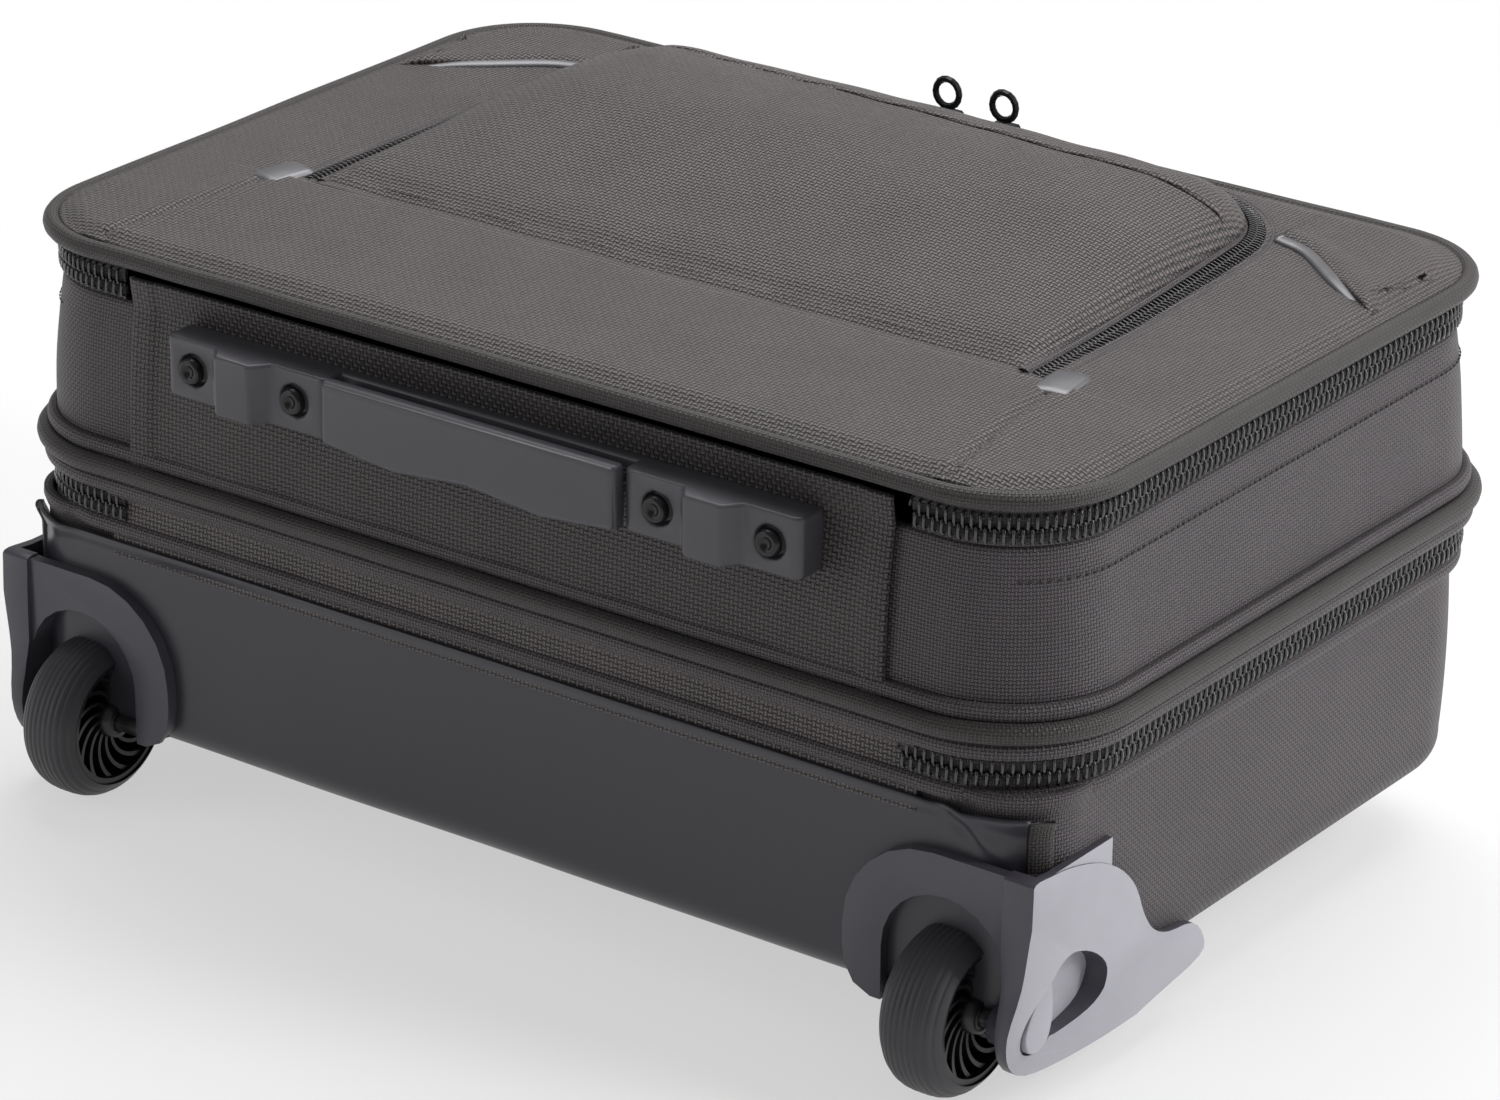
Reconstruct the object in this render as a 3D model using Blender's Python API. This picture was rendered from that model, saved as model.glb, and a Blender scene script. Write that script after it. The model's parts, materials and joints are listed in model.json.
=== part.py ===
"""A wheeled laptop case lying on its back: a fabric case in two zipped compartments.

Metres, +Z up. Shapes are drawn in the case's own frame, where x = 0 is the middle of the
width, y = 0 the wheel end, z = 0 the outside of the back, and case_frame carries that frame
to the part's origin, the middle of the footprint on the floor.
"""
import math

import bmesh
import bpy
from mathutils import Vector

# ---- driving sizes
case_width = 0.430            # across the piping of the front panel
case_length = 0.283           # wheel end to handle end
front_z = 0.177               # middle of the front piping above the back
main_zip_z = 0.1662
mid_piping_z = 0.1017
rear_zip_z = 0.0869
corner_radius = 0.043
wheel_corner_radius = 0.028   # corners of the rear tub at the wheel end
back_edge_radius = 0.012
floor_drop = 0.0245           # back of the case above the floor

gap = 0.0003                  # between touching pieces
sliding_gap = 0.0004
wall = 0.003                  # fabric, foam and lining
flare = 0.005                 # the middle of the case stands this far outside its front
tub_inset = 0.005

piping_radius = 0.0032
mid_piping_radius = 0.0035
zip_half = 0.0057             # height of one half of a large zip
zip_thickness = 0.0036
zip_end_x = case_width / 2 - 0.055   # where the large zips end on the wheel end
corner_steps = 7

wheel_x = case_width / 2 - 0.035
wheel_y = 0.004
wheel_z = 0.004
wheel_radius = 0.0285
wheel_width = 0.024
core_radius = 0.0225
axle_radius = 0.003
axle_clearance = 0.00005

housing_inner_x = case_width / 2 - 0.074
housing_outer_x = case_width / 2 - 0.0012
housing_front_y = -0.001
housing_depth = 0.042
housing_top = 0.0590
well_inner_x = case_width / 2 - 0.059
well_outer_x = case_width / 2 - 0.0115
well_top = 0.044
well_depth = 0.039
side_plate_thickness = 0.0032
side_plate_reach = 0.097
boss_radius = 0.0070          # round the axle, between the side plate and the wheel
pocket_floor = 0.0022         # thickness left in the plate behind the axle cap
cap_thickness = 0.0042

board_thickness = 0.002
tube_x = 0.072
tube_width = 0.028
tube_height = 0.016
tube_wall = 0.0009
tube_base_y = 0.034
tube_step = 0.004             # each stage starts this far inside the one before
bezel_half = 0.096
bezel_height = 0.024
bezel_depth = 0.024
grip_depth = 0.021
grip_clearance = 0.0015
button_half = 0.014
button_height = 0.007
button_travel = 0.0025

foot_x = 0.145
foot_y = 0.245
foot_length = 0.060
foot_width = 0.024

bar_half = 0.129
bar_height = 0.021
bar_z = 0.150
bar_face_y = -0.009
grip_half = 0.060
hole_inset = 0.0115           # outer screw hole from the bar's end
hole_pitch = 0.0435
hole_radius = 0.0056
hole_depth = 0.005

divider_thickness = 0.003
carry_half = 0.075
carry_reach = 0.026
carry_width = 0.028
carry_z = 0.122
sleeve_width = 0.350
sleeve_depth = 0.040
sleeve_wall = 0.003

pocket_half = 0.158           # to the middle of the pocket zip
pocket_hinge_y = 0.080
pocket_far_y = 0.272
pocket_corner = 0.045
pocket_zip_half = 0.005
pocket_zip_thickness = 0.0016
pocket_rise_near = 0.0035
pocket_rise_far = 0.0125
pocket_skin = 0.0016
slip_far_y = 0.248
slip_thickness = 0.0013
tab_length = 0.024
tab_width = 0.012
tab_thickness = 0.003

slider_length = 0.014
slider_thickness = 0.0035
slider_gap = 0.016            # between the two sliders of a zip
pull_length = 0.020
pull_width = 0.007
pull_thickness = 0.0016
ring_radius = 0.0050
ring_wire = 0.0013

# ---- sizes that follow
half_width = case_width / 2
front_face = -(2 * piping_radius + gap)           # outset of the wall behind the front piping
mid_face = flare - 2 * mid_piping_radius - gap    # and behind the middle piping
tub_face = -tub_inset
top_y = case_length + tub_face
board_top = wall + gap + board_thickness
tube_z = board_top + gap + bezel_height / 2
cover_z = tube_z + tube_height / 2 + 0.0008
tub_rim_z = rear_zip_z - zip_half - gap
tub_lip_z = tub_rim_z - 0.0035                    # the rim stands out above this
tub_flare_z = tub_lip_z - 0.003
lid_floor = front_z + 0.0024                      # outside of the front panel


# ---- materials
def material(name, colour, roughness, metallic=0.0):
    made = bpy.data.materials.new(name)
    made.use_nodes = True
    shader = made.node_tree.nodes["Principled BSDF"]
    shader.inputs["Base Color"].default_value = (*colour, 1.0)
    shader.inputs["Roughness"].default_value = roughness
    shader.inputs["Metallic"].default_value = metallic
    return made


def clear_scene():
    for thing in list(bpy.data.objects):
        bpy.data.objects.remove(thing, do_unlink=True)


# ---- turning meshes into named objects
def keep(mesh_data, name, colour, pivot, smooth=True):
    """Name a mesh drawn in the case frame and hang it on its body's pivot."""
    bmesh.ops.recalc_face_normals(mesh_data, faces=mesh_data.faces[:])
    mesh = bpy.data.meshes.new(name)
    mesh_data.to_mesh(mesh)
    mesh_data.free()
    if smooth:
        mesh.shade_smooth()
        mesh.set_sharp_from_angle(angle=math.radians(35))
    made = bpy.data.objects.new(name, mesh)
    bpy.context.collection.objects.link(made)
    if colour is not None:
        made.data.materials.append(colour)
    if pivot is not None:
        made.parent = pivot
        made.location = -Vector(pivot["place"])
    return made


def pivot_at(name, place, parent=None):
    """An empty on a joint's axis; its place is kept in the case frame."""
    empty = bpy.data.objects.new(name, None)
    bpy.context.collection.objects.link(empty)
    empty["place"] = place
    empty.parent = parent
    start = Vector(parent["place"]) if parent is not None else Vector((0, 0, 0))
    empty.location = Vector(place) - start
    return empty


def grid_faces(mesh_data, rings, wrap_rings, cap_ends):
    """Quads between neighbouring rings of points; the ends are capped when asked."""
    rows = [[mesh_data.verts.new(point) for point in ring] for ring in rings]
    count = len(rows)
    for i in range(count if wrap_rings else count - 1):
        near, far = rows[i], rows[(i + 1) % count]
        for j in range(len(near)):
            k = (j + 1) % len(near)
            mesh_data.faces.new((near[j], near[k], far[k], far[j]))
    if cap_ends:
        mesh_data.faces.new(rows[0])
        mesh_data.faces.new(rows[-1])


def rounded_loop(half, low, high, radii, steps=corner_steps):
    """Points and outward normals round a rectangle: radii are (low corners, high corners)."""
    stations = []
    corners = ((1, low, radii[0], -90), (1, high, radii[1], 0),
               (-1, high, radii[1], 90), (-1, low, radii[0], 180))
    for side, edge, radius, start in corners:
        centre_x = side * (half - radius)
        centre_y = edge + radius if edge == low else edge - radius
        for i in range(steps + 1):
            angle = math.radians(start + 90 * i / steps)
            normal = Vector((math.cos(angle), math.sin(angle), 0))
            stations.append((Vector((centre_x, centre_y, 0)) + normal * radius, normal))
    return stations


def case_loop(low_radius=corner_radius):
    return rounded_loop(half_width, 0, case_length, (low_radius, corner_radius))


def open_run(loop, start_x, low):
    """The part of a loop from (start_x, low) round the far end to (-start_x, low)."""
    down = Vector((0, -1, 0))
    return [(Vector((start_x, low, 0)), down), *loop, (Vector((-start_x, low, 0)), down)]


def band(profile, stations, name, colour, pivot, closed=True, height=None):
    """A profile of (outset, z) points carried along stations."""
    made = bmesh.new()
    rings = []
    for point, normal in stations:
        ring = []
        for outset, z in profile:
            place = point + normal * outset
            lift = height(place) if height else 0
            ring.append(place + Vector((0, 0, z + lift)))
        rings.append(ring)
    grid_faces(made, rings, closed, not closed)
    return keep(made, name, colour, pivot)


def stack(profile, name, colour, pivot, loop_at):
    """Rings of (outset, z) stacked from an outer cap to an inner cap; loop_at(z) is the outline."""
    made = bmesh.new()
    rings = []
    for outset, z in profile:
        rings.append([point + normal * outset + Vector((0, 0, z)) for point, normal in loop_at(z)])
    grid_faces(made, rings, False, True)
    return keep(made, name, colour, pivot)


def round_profile(outset, z, radius, steps=8):
    turns = [2 * math.pi * i / steps for i in range(steps)]
    return [(outset + radius * math.cos(a), z + radius * math.sin(a)) for a in turns]


def block(low, high, name, colour, pivot, bevel=0.0):
    made = bmesh.new()
    bmesh.ops.create_cube(made, size=1)
    for vert in made.verts:
        vert.co = Vector([(low[i] + high[i]) / 2 + vert.co[i] * (high[i] - low[i]) for i in range(3)])
    if bevel:
        bmesh.ops.bevel(made, geom=made.edges[:], offset=bevel, segments=1, affect="EDGES")
    return keep(made, name, colour, pivot)


def prism(outline, axis, low, high, name, colour, pivot, bevel=0.0):
    """An outline in the two other axes, in X, Y, Z order, drawn out from low to high."""
    made = bmesh.new()
    verts = []
    for first, second in outline:
        place = [first, second]
        place.insert("XYZ".index(axis), low)
        verts.append(made.verts.new(place))
    face = made.faces.new(verts)
    grown = bmesh.ops.extrude_face_region(made, geom=[face])
    step = Vector([high - low if letter == axis else 0 for letter in "XYZ"])
    bmesh.ops.translate(made, verts=[v for v in grown["geom"] if isinstance(v, bmesh.types.BMVert)],
                        vec=step)
    bmesh.ops.recalc_face_normals(made, faces=made.faces[:])
    if bevel:
        rims = [e for e in made.edges
                if abs((e.verts[0].co - e.verts[1].co).dot(step.normalized())) < 1e-6]
        bmesh.ops.bevel(made, geom=rims, offset=bevel, segments=1, affect="EDGES")
    return keep(made, name, colour, pivot)


def turned(profile, centre, name, colour, pivot, steps=32, axis="X"):
    """A closed profile of (radius, along) turned about an axis through centre."""
    made = bmesh.new()
    rings = []
    for i in range(steps):
        turn = 2 * math.pi * i / steps
        across, up = math.cos(turn), math.sin(turn)
        ring = []
        for radius, along in profile:
            local = (along, radius * across, radius * up)
            if axis == "Y":
                local = (radius * across, along, radius * up)
            ring.append(Vector(centre) + Vector(local))
        rings.append(ring)
    grid_faces(made, rings, True, False)
    return keep(made, name, colour, pivot)


def pin(radius, low, high, centre, name, colour, pivot, steps=16, axis="X"):
    made = bmesh.new()
    rings = []
    for along in (low, high):
        ring = []
        for i in range(steps):
            turn = 2 * math.pi * i / steps
            local = [radius * math.cos(turn), radius * math.sin(turn)]
            local.insert("XYZ".index(axis), along)
            ring.append(Vector(centre) + Vector(local))
        rings.append(ring)
    grid_faces(made, rings, False, True)
    return keep(made, name, colour, pivot)


def combine(target, tool, operation):
    """Cut the tool from the target, or fuse the two into one body."""
    modifier = target.modifiers.new(operation.lower() + "_" + tool.name, "BOOLEAN")
    modifier.operation = operation
    modifier.solver = "EXACT"
    modifier.object = tool
    tool.hide_render = True
    tool.display_type = "WIRE"


def sides():
    return (("left", -1), ("right", 1))


# ---- the rear half of the case
def tub_loop(z):
    radius = wheel_corner_radius if z <= tub_flare_z else corner_radius
    return case_loop(radius)


def rear_shell(fabric, pivot, cutters):
    rim, lip = tub_rim_z, tub_lip_z
    edge = back_edge_radius
    curve = [(tub_face - edge * (1 - math.sin(a)), edge * (1 - math.cos(a)))
             for a in (0, math.pi / 6, math.pi / 3, math.pi / 2)]
    profile = [*curve, (tub_face, tub_flare_z), (mid_face, lip), (mid_face, rim),
               (mid_face - wall, rim), (mid_face - wall, lip), (tub_face - wall, tub_flare_z),
               (tub_face - wall, edge), (tub_face - edge, wall)]
    shell = stack(profile, "rear_shell", fabric, pivot, tub_loop)
    for cutter in cutters:
        combine(shell, cutter, "DIFFERENCE")
    hinge_fabric(shell, mid_face, tub_rim_z, pivot)
    return shell


def hinge_fabric(wall_below, face, rim, pivot):
    """The wall's fabric carried up between the two ends of the zip above it."""
    half = zip_end_x - gap
    strip = block((-half, -face, rim - 0.002), (half, -face + wall, rim + 2 * zip_half + gap),
                  wall_below.name + "_hinge", None, pivot)
    combine(wall_below, strip, "UNION")


def housing_cutters(pivot):
    """The corners that the wheel housings fill, a gap larger than they are."""
    made = []
    for name, side in sides():
        near, far = side * (housing_inner_x - gap), side * (housing_outer_x + 0.02)
        low = (min(near, far), -0.05, -0.02)
        high = (max(near, far), housing_depth + gap, housing_top + gap)
        made.append(block(low, high, "housing_space_" + name, None, pivot))
    return made


def flat_sheet(thickness, base_z, inset, name, colour, pivot, cutters):
    """A flat sheet inside the tub, clear of its walls by the inset."""
    outset = tub_face - wall - inset
    sheet = stack([(outset, base_z), (outset, base_z + thickness)], name, colour, pivot,
                  lambda z: case_loop(wheel_corner_radius))
    for cutter in cutters:
        combine(sheet, cutter, "DIFFERENCE")
    return sheet


def kick_plate(plastic, pivot, cutters):
    """A moulded sheet over the wheel end, carried a little way round both corners."""
    loop = case_loop(wheel_corner_radius)
    steps = corner_steps // 2 + 1
    right, left = loop[:steps], loop[-steps:]
    inner, outer = tub_face + gap, tub_face + gap + 0.0016
    low, high = back_edge_radius, tub_flare_z - gap
    profile = [(inner, low), (inner, high), (outer, high), (outer, low)]
    plate = band(profile, [*left, *right], "kick_plate", plastic, pivot, closed=False)
    for cutter in cutters:
        combine(plate, cutter, "DIFFERENCE")


def large_zip_half(z_low, face, name, colour, pivot):
    profile = [(face - 0.001, z_low), (face + zip_thickness - 0.001, z_low),
               (face + zip_thickness - 0.001, z_low + zip_half - gap), (face - 0.001, z_low + zip_half - gap)]
    return band(profile, open_run(case_loop(), zip_end_x, 0), name, colour, pivot, closed=False)


def eased(points, parts=3):
    """A closed outline through the points, each stretch a Catmull-Rom curve in this many parts."""
    count = len(points)
    out = []
    for i in range(count):
        before, here, after, beyond = (points[(i + k) % count] for k in (-1, 0, 1, 2))
        for j in range(parts):
            t = j / parts
            out.append(tuple(0.5 * (2 * h + (a - b) * t + (2 * b - 5 * h + 4 * a - c) * t ** 2
                                    + (3 * h - b - 3 * a + c) * t ** 3)
                             for b, h, a, c in zip(before, here, after, beyond)))
    return out


def side_plate_outline():
    """The housing's side plate from the side: a nose round the axle, a hump over the wheel and a long toe."""
    nose = [(-0.0035, 0.022), (-0.0070, 0.006), (-0.0040, -0.0055), (0.005, -0.012), (0.022, -0.0135)]
    toe = [(0.045, -0.0125), (0.070, -0.009), (side_plate_reach - 0.002, -0.005),
           (side_plate_reach, 0.0015), (side_plate_reach - 0.007, 0.009)]
    hump = [(0.076, 0.0115), (0.067, 0.016), (0.061, 0.024), (0.056, 0.035),
            (0.048, 0.044), (0.036, 0.0515), (0.020, 0.0565), (0.007, 0.0582)]
    corner = [(housing_front_y - 0.0005, 0.0585), (housing_front_y - 0.0015, 0.054), (housing_front_y - 0.002, 0.040)]
    return eased([*nose, *toe, *hump, *corner])


def cap_outline(grow):
    """The leaf-shaped axle cap from the side, made larger all round by grow."""
    points = [(0.0135, 0.0205), (0.0085, 0.0155), (0.0035, 0.0095), (0.0008, 0.0035), (0.0022, -0.0020),
              (0.0070, -0.0040), (0.0125, -0.0020), (0.0152, 0.0040), (0.0155, 0.0125)]
    middle_y, middle_z = 0.0083, 0.0065
    out = []
    for y, z in points:
        away = math.hypot(y - middle_y, z - middle_z)
        out.append((y + grow * (y - middle_y) / away, z + grow * (z - middle_z) / away))
    return eased(out)


def pocket_behind_cap():
    """The dark hollow behind the axle cap, from the side."""
    return eased([(0.0100, 0.0150), (0.0140, 0.0235), (0.0205, 0.0265), (0.0315, 0.0225), (0.0395, 0.0155),
                  (0.0400, 0.0090), (0.0350, 0.0030), (0.0250, 0.0000), (0.0130, -0.0010), (0.0085, 0.0050)])


def nose_slant(side, name, pivot):
    """What lies outside the plane in which the nose leans in towards the wheel."""
    def plane(y, z):
        share = 1 - (z + 0.012) / 0.057 - (y + 0.004) / 0.064
        return housing_outer_x - 0.0075 * share

    made = bmesh.new()
    corners = [(-0.05, -0.06), (0.15, -0.06), (0.15, 0.10), (-0.05, 0.10)]
    rings = [[Vector((side * plane(y, z), y, z)) for y, z in corners],
             [Vector((side * 0.30, y, z)) for y, z in corners]]
    grid_faces(made, rings, False, True)
    return keep(made, "nose_slant_" + name, None, pivot)


def arch_outline(inner_x, outer_x, top, bottom, round_inner):
    """An arch seen from the wheel end, rounded on its inner shoulder or on both."""
    points = [(inner_x, bottom)]
    if not round_inner:
        points = [(inner_x + 0.011, bottom), (inner_x + 0.0045, bottom + 0.003), (inner_x + 0.001, bottom + 0.009),
                  (inner_x, bottom + 0.016)]
    radius = (outer_x - inner_x) / 2 if round_inner else 0.034
    for i in range(7):
        angle = math.pi - math.pi / 2 * i / 6
        points.append((inner_x + radius + radius * math.cos(angle),
                       top - radius + radius * math.sin(angle)))
    if round_inner:
        for i in range(1, 7):
            angle = math.pi / 2 - math.pi / 2 * i / 6
            points.append((outer_x - radius + radius * math.cos(angle),
                           top - radius + radius * math.sin(angle)))
    else:
        points.append((outer_x, top))
    points.append((outer_x, bottom))
    return points


def wheel_housing(name, side, plastic, pivot):
    """A block over the wheel with an open well, and a side plate that reaches past it."""
    flange = [(side * x, z) for x, z in
              arch_outline(housing_inner_x, housing_outer_x - 0.0005, housing_top - 0.001, 0.001, False)]
    housing = prism(flange, "Y", housing_front_y, housing_depth, "wheel_housing_" + name, plastic, pivot)
    outer = housing_outer_x
    plate = prism(side_plate_outline(), "X", *sorted((side * (well_outer_x - 0.001), side * outer)),
                  "housing_plate_" + name, None, pivot)
    near, far = sorted((side * 0.15, side * (outer - side_plate_thickness)))
    behind = block((near, housing_depth, -0.05), (far, 0.2, 0.1), "space_behind_" + name, None, pivot)
    arch = [(side * x, z) for x, z in
            arch_outline(well_inner_x, well_outer_x, well_top, -0.03, True)]
    well = prism(arch, "Y", -0.05, well_depth, "wheel_well_" + name, None, pivot)
    boss = pin(boss_radius, -0.004, 0.004, (side * (well_outer_x - 0.002), wheel_y, wheel_z),
               "axle_boss_" + name, None, pivot)
    bore = pin(axle_radius + gap, -0.05, 0.05, (side * wheel_x, wheel_y, wheel_z),
               "axle_bore_" + name, None, pivot)
    floor = well_outer_x + pocket_floor
    hollows = [prism(outline, "X", *sorted((side * floor, side * (outer + 0.01))), label + name, None, pivot)
               for outline, label in ((pocket_behind_cap(), "hollow_"), (cap_outline(0.0009), "cap_seat_"))]
    combine(plate, behind, "DIFFERENCE")
    combine(housing, plate, "UNION")
    combine(housing, nose_slant(side, name, pivot), "DIFFERENCE")
    combine(housing, well, "DIFFERENCE")
    combine(housing, boss, "UNION")
    for hollow in hollows:
        combine(housing, hollow, "DIFFERENCE")
    combine(housing, bore, "DIFFERENCE")
    return housing


def axle(name, side, steel, pivot):
    inner, outer = well_inner_x - 0.006 - wheel_x, well_outer_x + pocket_floor - wheel_x
    ends = sorted((side * inner, side * outer))
    return pin(axle_radius, *ends, (side * wheel_x, wheel_y, wheel_z), "wheel_axle_" + name,
               steel, pivot)


def axle_cap(name, side, plastic, pivot):
    """A leaf-shaped cap over the axle's end."""
    face = well_outer_x + pocket_floor + gap
    ends = sorted((side * face, side * (face + cap_thickness)))
    return prism(cap_outline(0), "X", *ends, "axle_cap_" + name, plastic, pivot)


def rounded_profile(inner, outer, half, crown):
    """A tyre's section: flat inside, crowned outside."""
    return [(inner, -half), (outer - crown, -half), (outer - 0.3 * crown, -0.7 * half), (outer, -0.2 * half),
            (outer, 0.2 * half), (outer - 0.3 * crown, 0.7 * half), (outer - crown, half), (inner, half)]


def wheel(name, side, rubber, plastic, pivot):
    centre = (side * wheel_x, wheel_y, wheel_z)
    half = wheel_width / 2
    turned(rounded_profile(core_radius + gap, wheel_radius, half, 0.0045), centre, "tyre_" + name,
           rubber, pivot, steps=36)
    bore = axle_radius + axle_clearance
    hub, rim = 0.007, core_radius - 0.003
    web = 0.005
    profile = [(bore, -half), (hub, -half), (hub, -web), (rim, -web), (rim, -half + 0.001),
               (core_radius, -half + 0.001), (core_radius, half - 0.001), (rim, half - 0.001),
               (rim, web), (hub, web), (hub, half), (bore, half)]
    turned(profile, centre, "wheel_core_" + name, plastic, pivot, steps=36)


def rear_foot(name, side, plastic, pivot):
    low_z = -floor_drop
    half_x, half_y = foot_length / 2, foot_width / 2
    outline = [(side * foot_x - half_x, foot_y - half_y), (side * foot_x + half_x, foot_y - half_y),
               (side * foot_x + half_x, foot_y + half_y), (side * foot_x - half_x, foot_y + half_y)]
    return prism(outline, "Z", low_z, -gap, "rear_foot_" + name, plastic, pivot, bevel=0.002)


# ---- the telescoping handle
def tube(stage, name, side, metal, pivot, base_y, end_y):
    """One straight tube, open at both ends; each stage fits inside the one before."""
    shrink = stage * (tube_wall + sliding_gap)
    outer = (tube_width / 2 - shrink, tube_height / 2 - shrink)
    inner = (outer[0] - tube_wall, outer[1] - tube_wall)
    made = bmesh.new()
    rings = []
    for (half_x, half_z), y in ((outer, base_y), (outer, end_y), (inner, end_y), (inner, base_y)):
        corners = ((-1, -1), (1, -1), (1, 1), (-1, 1))
        rings.append([Vector((side * tube_x + a * half_x, y, tube_z + b * half_z)) for a, b in corners])
    grid_faces(made, rings, True, False)
    return keep(made, name, metal, pivot, smooth=False)


def bezel(plastic, pivot, shell):
    """The cup that the grip drops into, through the shell's handle end."""
    low_z, high_z = tube_z - bezel_height / 2, tube_z + bezel_height / 2
    floor_y = top_y - bezel_depth
    cup = block((-bezel_half, floor_y - 0.002, low_z), (bezel_half, top_y + 0.002, high_z),
                "handle_bezel", plastic, pivot)
    rim = block((-bezel_half - 0.003, top_y + gap, low_z - 0.003),
                (bezel_half + 0.003, top_y + 0.0022, high_z + 0.003), "bezel_rim", None, pivot)
    inside = block((-bezel_half + 0.0025, floor_y, low_z + 0.002),
                   (bezel_half - 0.0025, top_y + 0.05, high_z - 0.002), "bezel_inside", None, pivot)
    combine(cup, rim, "UNION")
    combine(cup, inside, "DIFFERENCE")
    for name, side in sides():
        half_x, half_z = tube_width / 2 + gap, tube_height / 2 + gap
        hole = block((side * tube_x - half_x, floor_y - 0.03, tube_z - half_z),
                     (side * tube_x + half_x, floor_y + 0.001, tube_z + half_z),
                     "tube_hole_" + name, None, pivot)
        combine(cup, hole, "DIFFERENCE")
    space = block((-bezel_half - gap, floor_y - 0.002 - gap, low_z - gap),
                  (bezel_half + gap, top_y + 0.05, high_z + gap), "bezel_space", None, pivot)
    combine(shell, space, "DIFFERENCE")
    return space


def handle_bracket(plastic, pivot):
    """A bar across the feet of the two outer tubes."""
    bar = block((-tube_x - 0.022, tube_base_y - 0.018, board_top + gap),
                (tube_x + 0.022, tube_base_y + 0.010, cover_z - gap), "handle_foot_bracket", plastic, pivot)
    for name, side in sides():
        half_x, half_z = tube_width / 2 + gap, tube_height / 2 + gap
        socket = block((side * tube_x - half_x, tube_base_y - gap, tube_z - half_z),
                       (side * tube_x + half_x, tube_base_y + 0.03, tube_z + half_z),
                       "tube_socket_" + name, None, pivot)
        combine(bar, socket, "DIFFERENCE")


def handle_grip(plastic, pivot, button_colour, button_pivot):
    """A bar with a socket for each tube and a well for the button."""
    floor_y = top_y - bezel_depth
    low_y, high_y = floor_y + grip_clearance, floor_y + grip_clearance + grip_depth + 0.006
    half_x = bezel_half - 0.0025 - grip_clearance
    half_z = bezel_height / 2 - 0.002 - grip_clearance
    bar = block((-half_x, low_y, tube_z - half_z), (half_x, high_y, tube_z + half_z),
                "handle_grip", plastic, pivot, bevel=0.002)
    shrink = 3 * (tube_wall + sliding_gap) - gap
    for name, side in sides():
        reach_x, reach_z = tube_width / 2 - shrink, tube_height / 2 - shrink
        socket = block((side * tube_x - reach_x, low_y - 0.01, tube_z - reach_z),
                       (side * tube_x + reach_x, low_y + 0.008 + gap, tube_z + reach_z),
                       "grip_socket_" + name, None, pivot)
        combine(bar, socket, "DIFFERENCE")
    half_button = button_height / 2
    well_floor = high_y - button_travel - 0.004
    well = block((-button_half - sliding_gap, well_floor, tube_z - half_button - sliding_gap),
                 (button_half + sliding_gap, high_y + 0.01, tube_z + half_button + sliding_gap),
                 "button_well", None, pivot)
    combine(bar, well, "DIFFERENCE")
    block((-button_half, well_floor + button_travel + 0.0005, tube_z - half_button),
          (button_half, high_y + 0.001, tube_z + half_button), "grip_button", button_colour,
          button_pivot)
    return low_y + 0.008


# ---- the middle section
def mid_gusset(fabric, pivot):
    low, high = rear_zip_z + zip_half + gap, main_zip_z - zip_half - gap
    profile = [(mid_face, low), (mid_face, low + 0.003), (front_face, high), (front_face - wall, high),
               (mid_face - wall, low + 0.003), (mid_face - wall, low)]
    gusset = band(profile, case_loop(), "mid_gusset", fabric, pivot)
    hinge_fabric(gusset, front_face, high, pivot)
    return gusset


def gusset_outset(z):
    low, high = rear_zip_z + zip_half + gap + 0.003, main_zip_z - zip_half - gap
    share = (z - low) / (high - low)
    return mid_face + share * (front_face - mid_face)


def mid_divider(lining, pivot):
    low = rear_zip_z + zip_half + 0.002
    outset = gusset_outset(low + divider_thickness) - wall - gap
    return stack([(outset, low), (outset, low + divider_thickness)], "mid_divider", lining, pivot,
                 lambda z: case_loop())


def foot_bar(plastic, pivot):
    """Two screwed ends joined by a thin rail along the top."""
    back = -gusset_outset(bar_z - bar_height / 2) - 0.001
    low, high = bar_z - bar_height / 2, bar_z + bar_height / 2
    inner = grip_half + gap
    bar = block((-bar_half, back - 0.005, high - 0.005), (bar_half, back, high), "foot_bar",
                plastic, pivot)
    for name, side in sides():
        first = bar_half - hole_inset
        second = first - hole_pitch
        hump = [(first - 0.010, bar_face_y), (first - 0.0145, bar_face_y - 0.006),
                (second + 0.0145, bar_face_y - 0.006), (second + 0.010, bar_face_y)]
        outline = [(inner, bar_face_y + 0.002), (inner, back), (bar_half, back),
                   (bar_half, bar_face_y + 0.002), (bar_half - 0.002, bar_face_y), *hump,
                   (inner + 0.002, bar_face_y)]
        end = prism([(side * x, y) for x, y in outline], "Z", low, high, "bar_end_" + name, None, pivot)
        combine(bar, end, "UNION")
        for number, x in enumerate((first, second)):
            hole = pin(hole_radius, bar_face_y - 0.02, bar_face_y + hole_depth, (side * x, 0, bar_z),
                       f"bar_hole_{name}_{number}", None, pivot, axis="Y")
            combine(bar, hole, "DIFFERENCE")


def foot_grip(plastic, pivot):
    """The bridge between the bar's ends, with room for fingers behind it."""
    low, high = bar_z - bar_height / 2 - 0.003, bar_z + bar_height / 2 + 0.001
    arch = [(grip_half * t, low + 0.003 * math.cos(math.pi * t) ** 2) for t in (-1, -0.75, -0.5, -0.25, 0,
                                                                             0.25, 0.5, 0.75, 1)]
    outline = [*arch, (grip_half, high), (-grip_half, high)]
    return prism(outline, "Y", bar_face_y - 0.004, bar_face_y + 0.003, "foot_grip", plastic, pivot,
                 bevel=0.0015)


def carry_face():
    """The strap lies against the gusset where the gusset stands out most behind it."""
    return case_length + gusset_outset(carry_z - carry_width / 2) + gap


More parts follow.
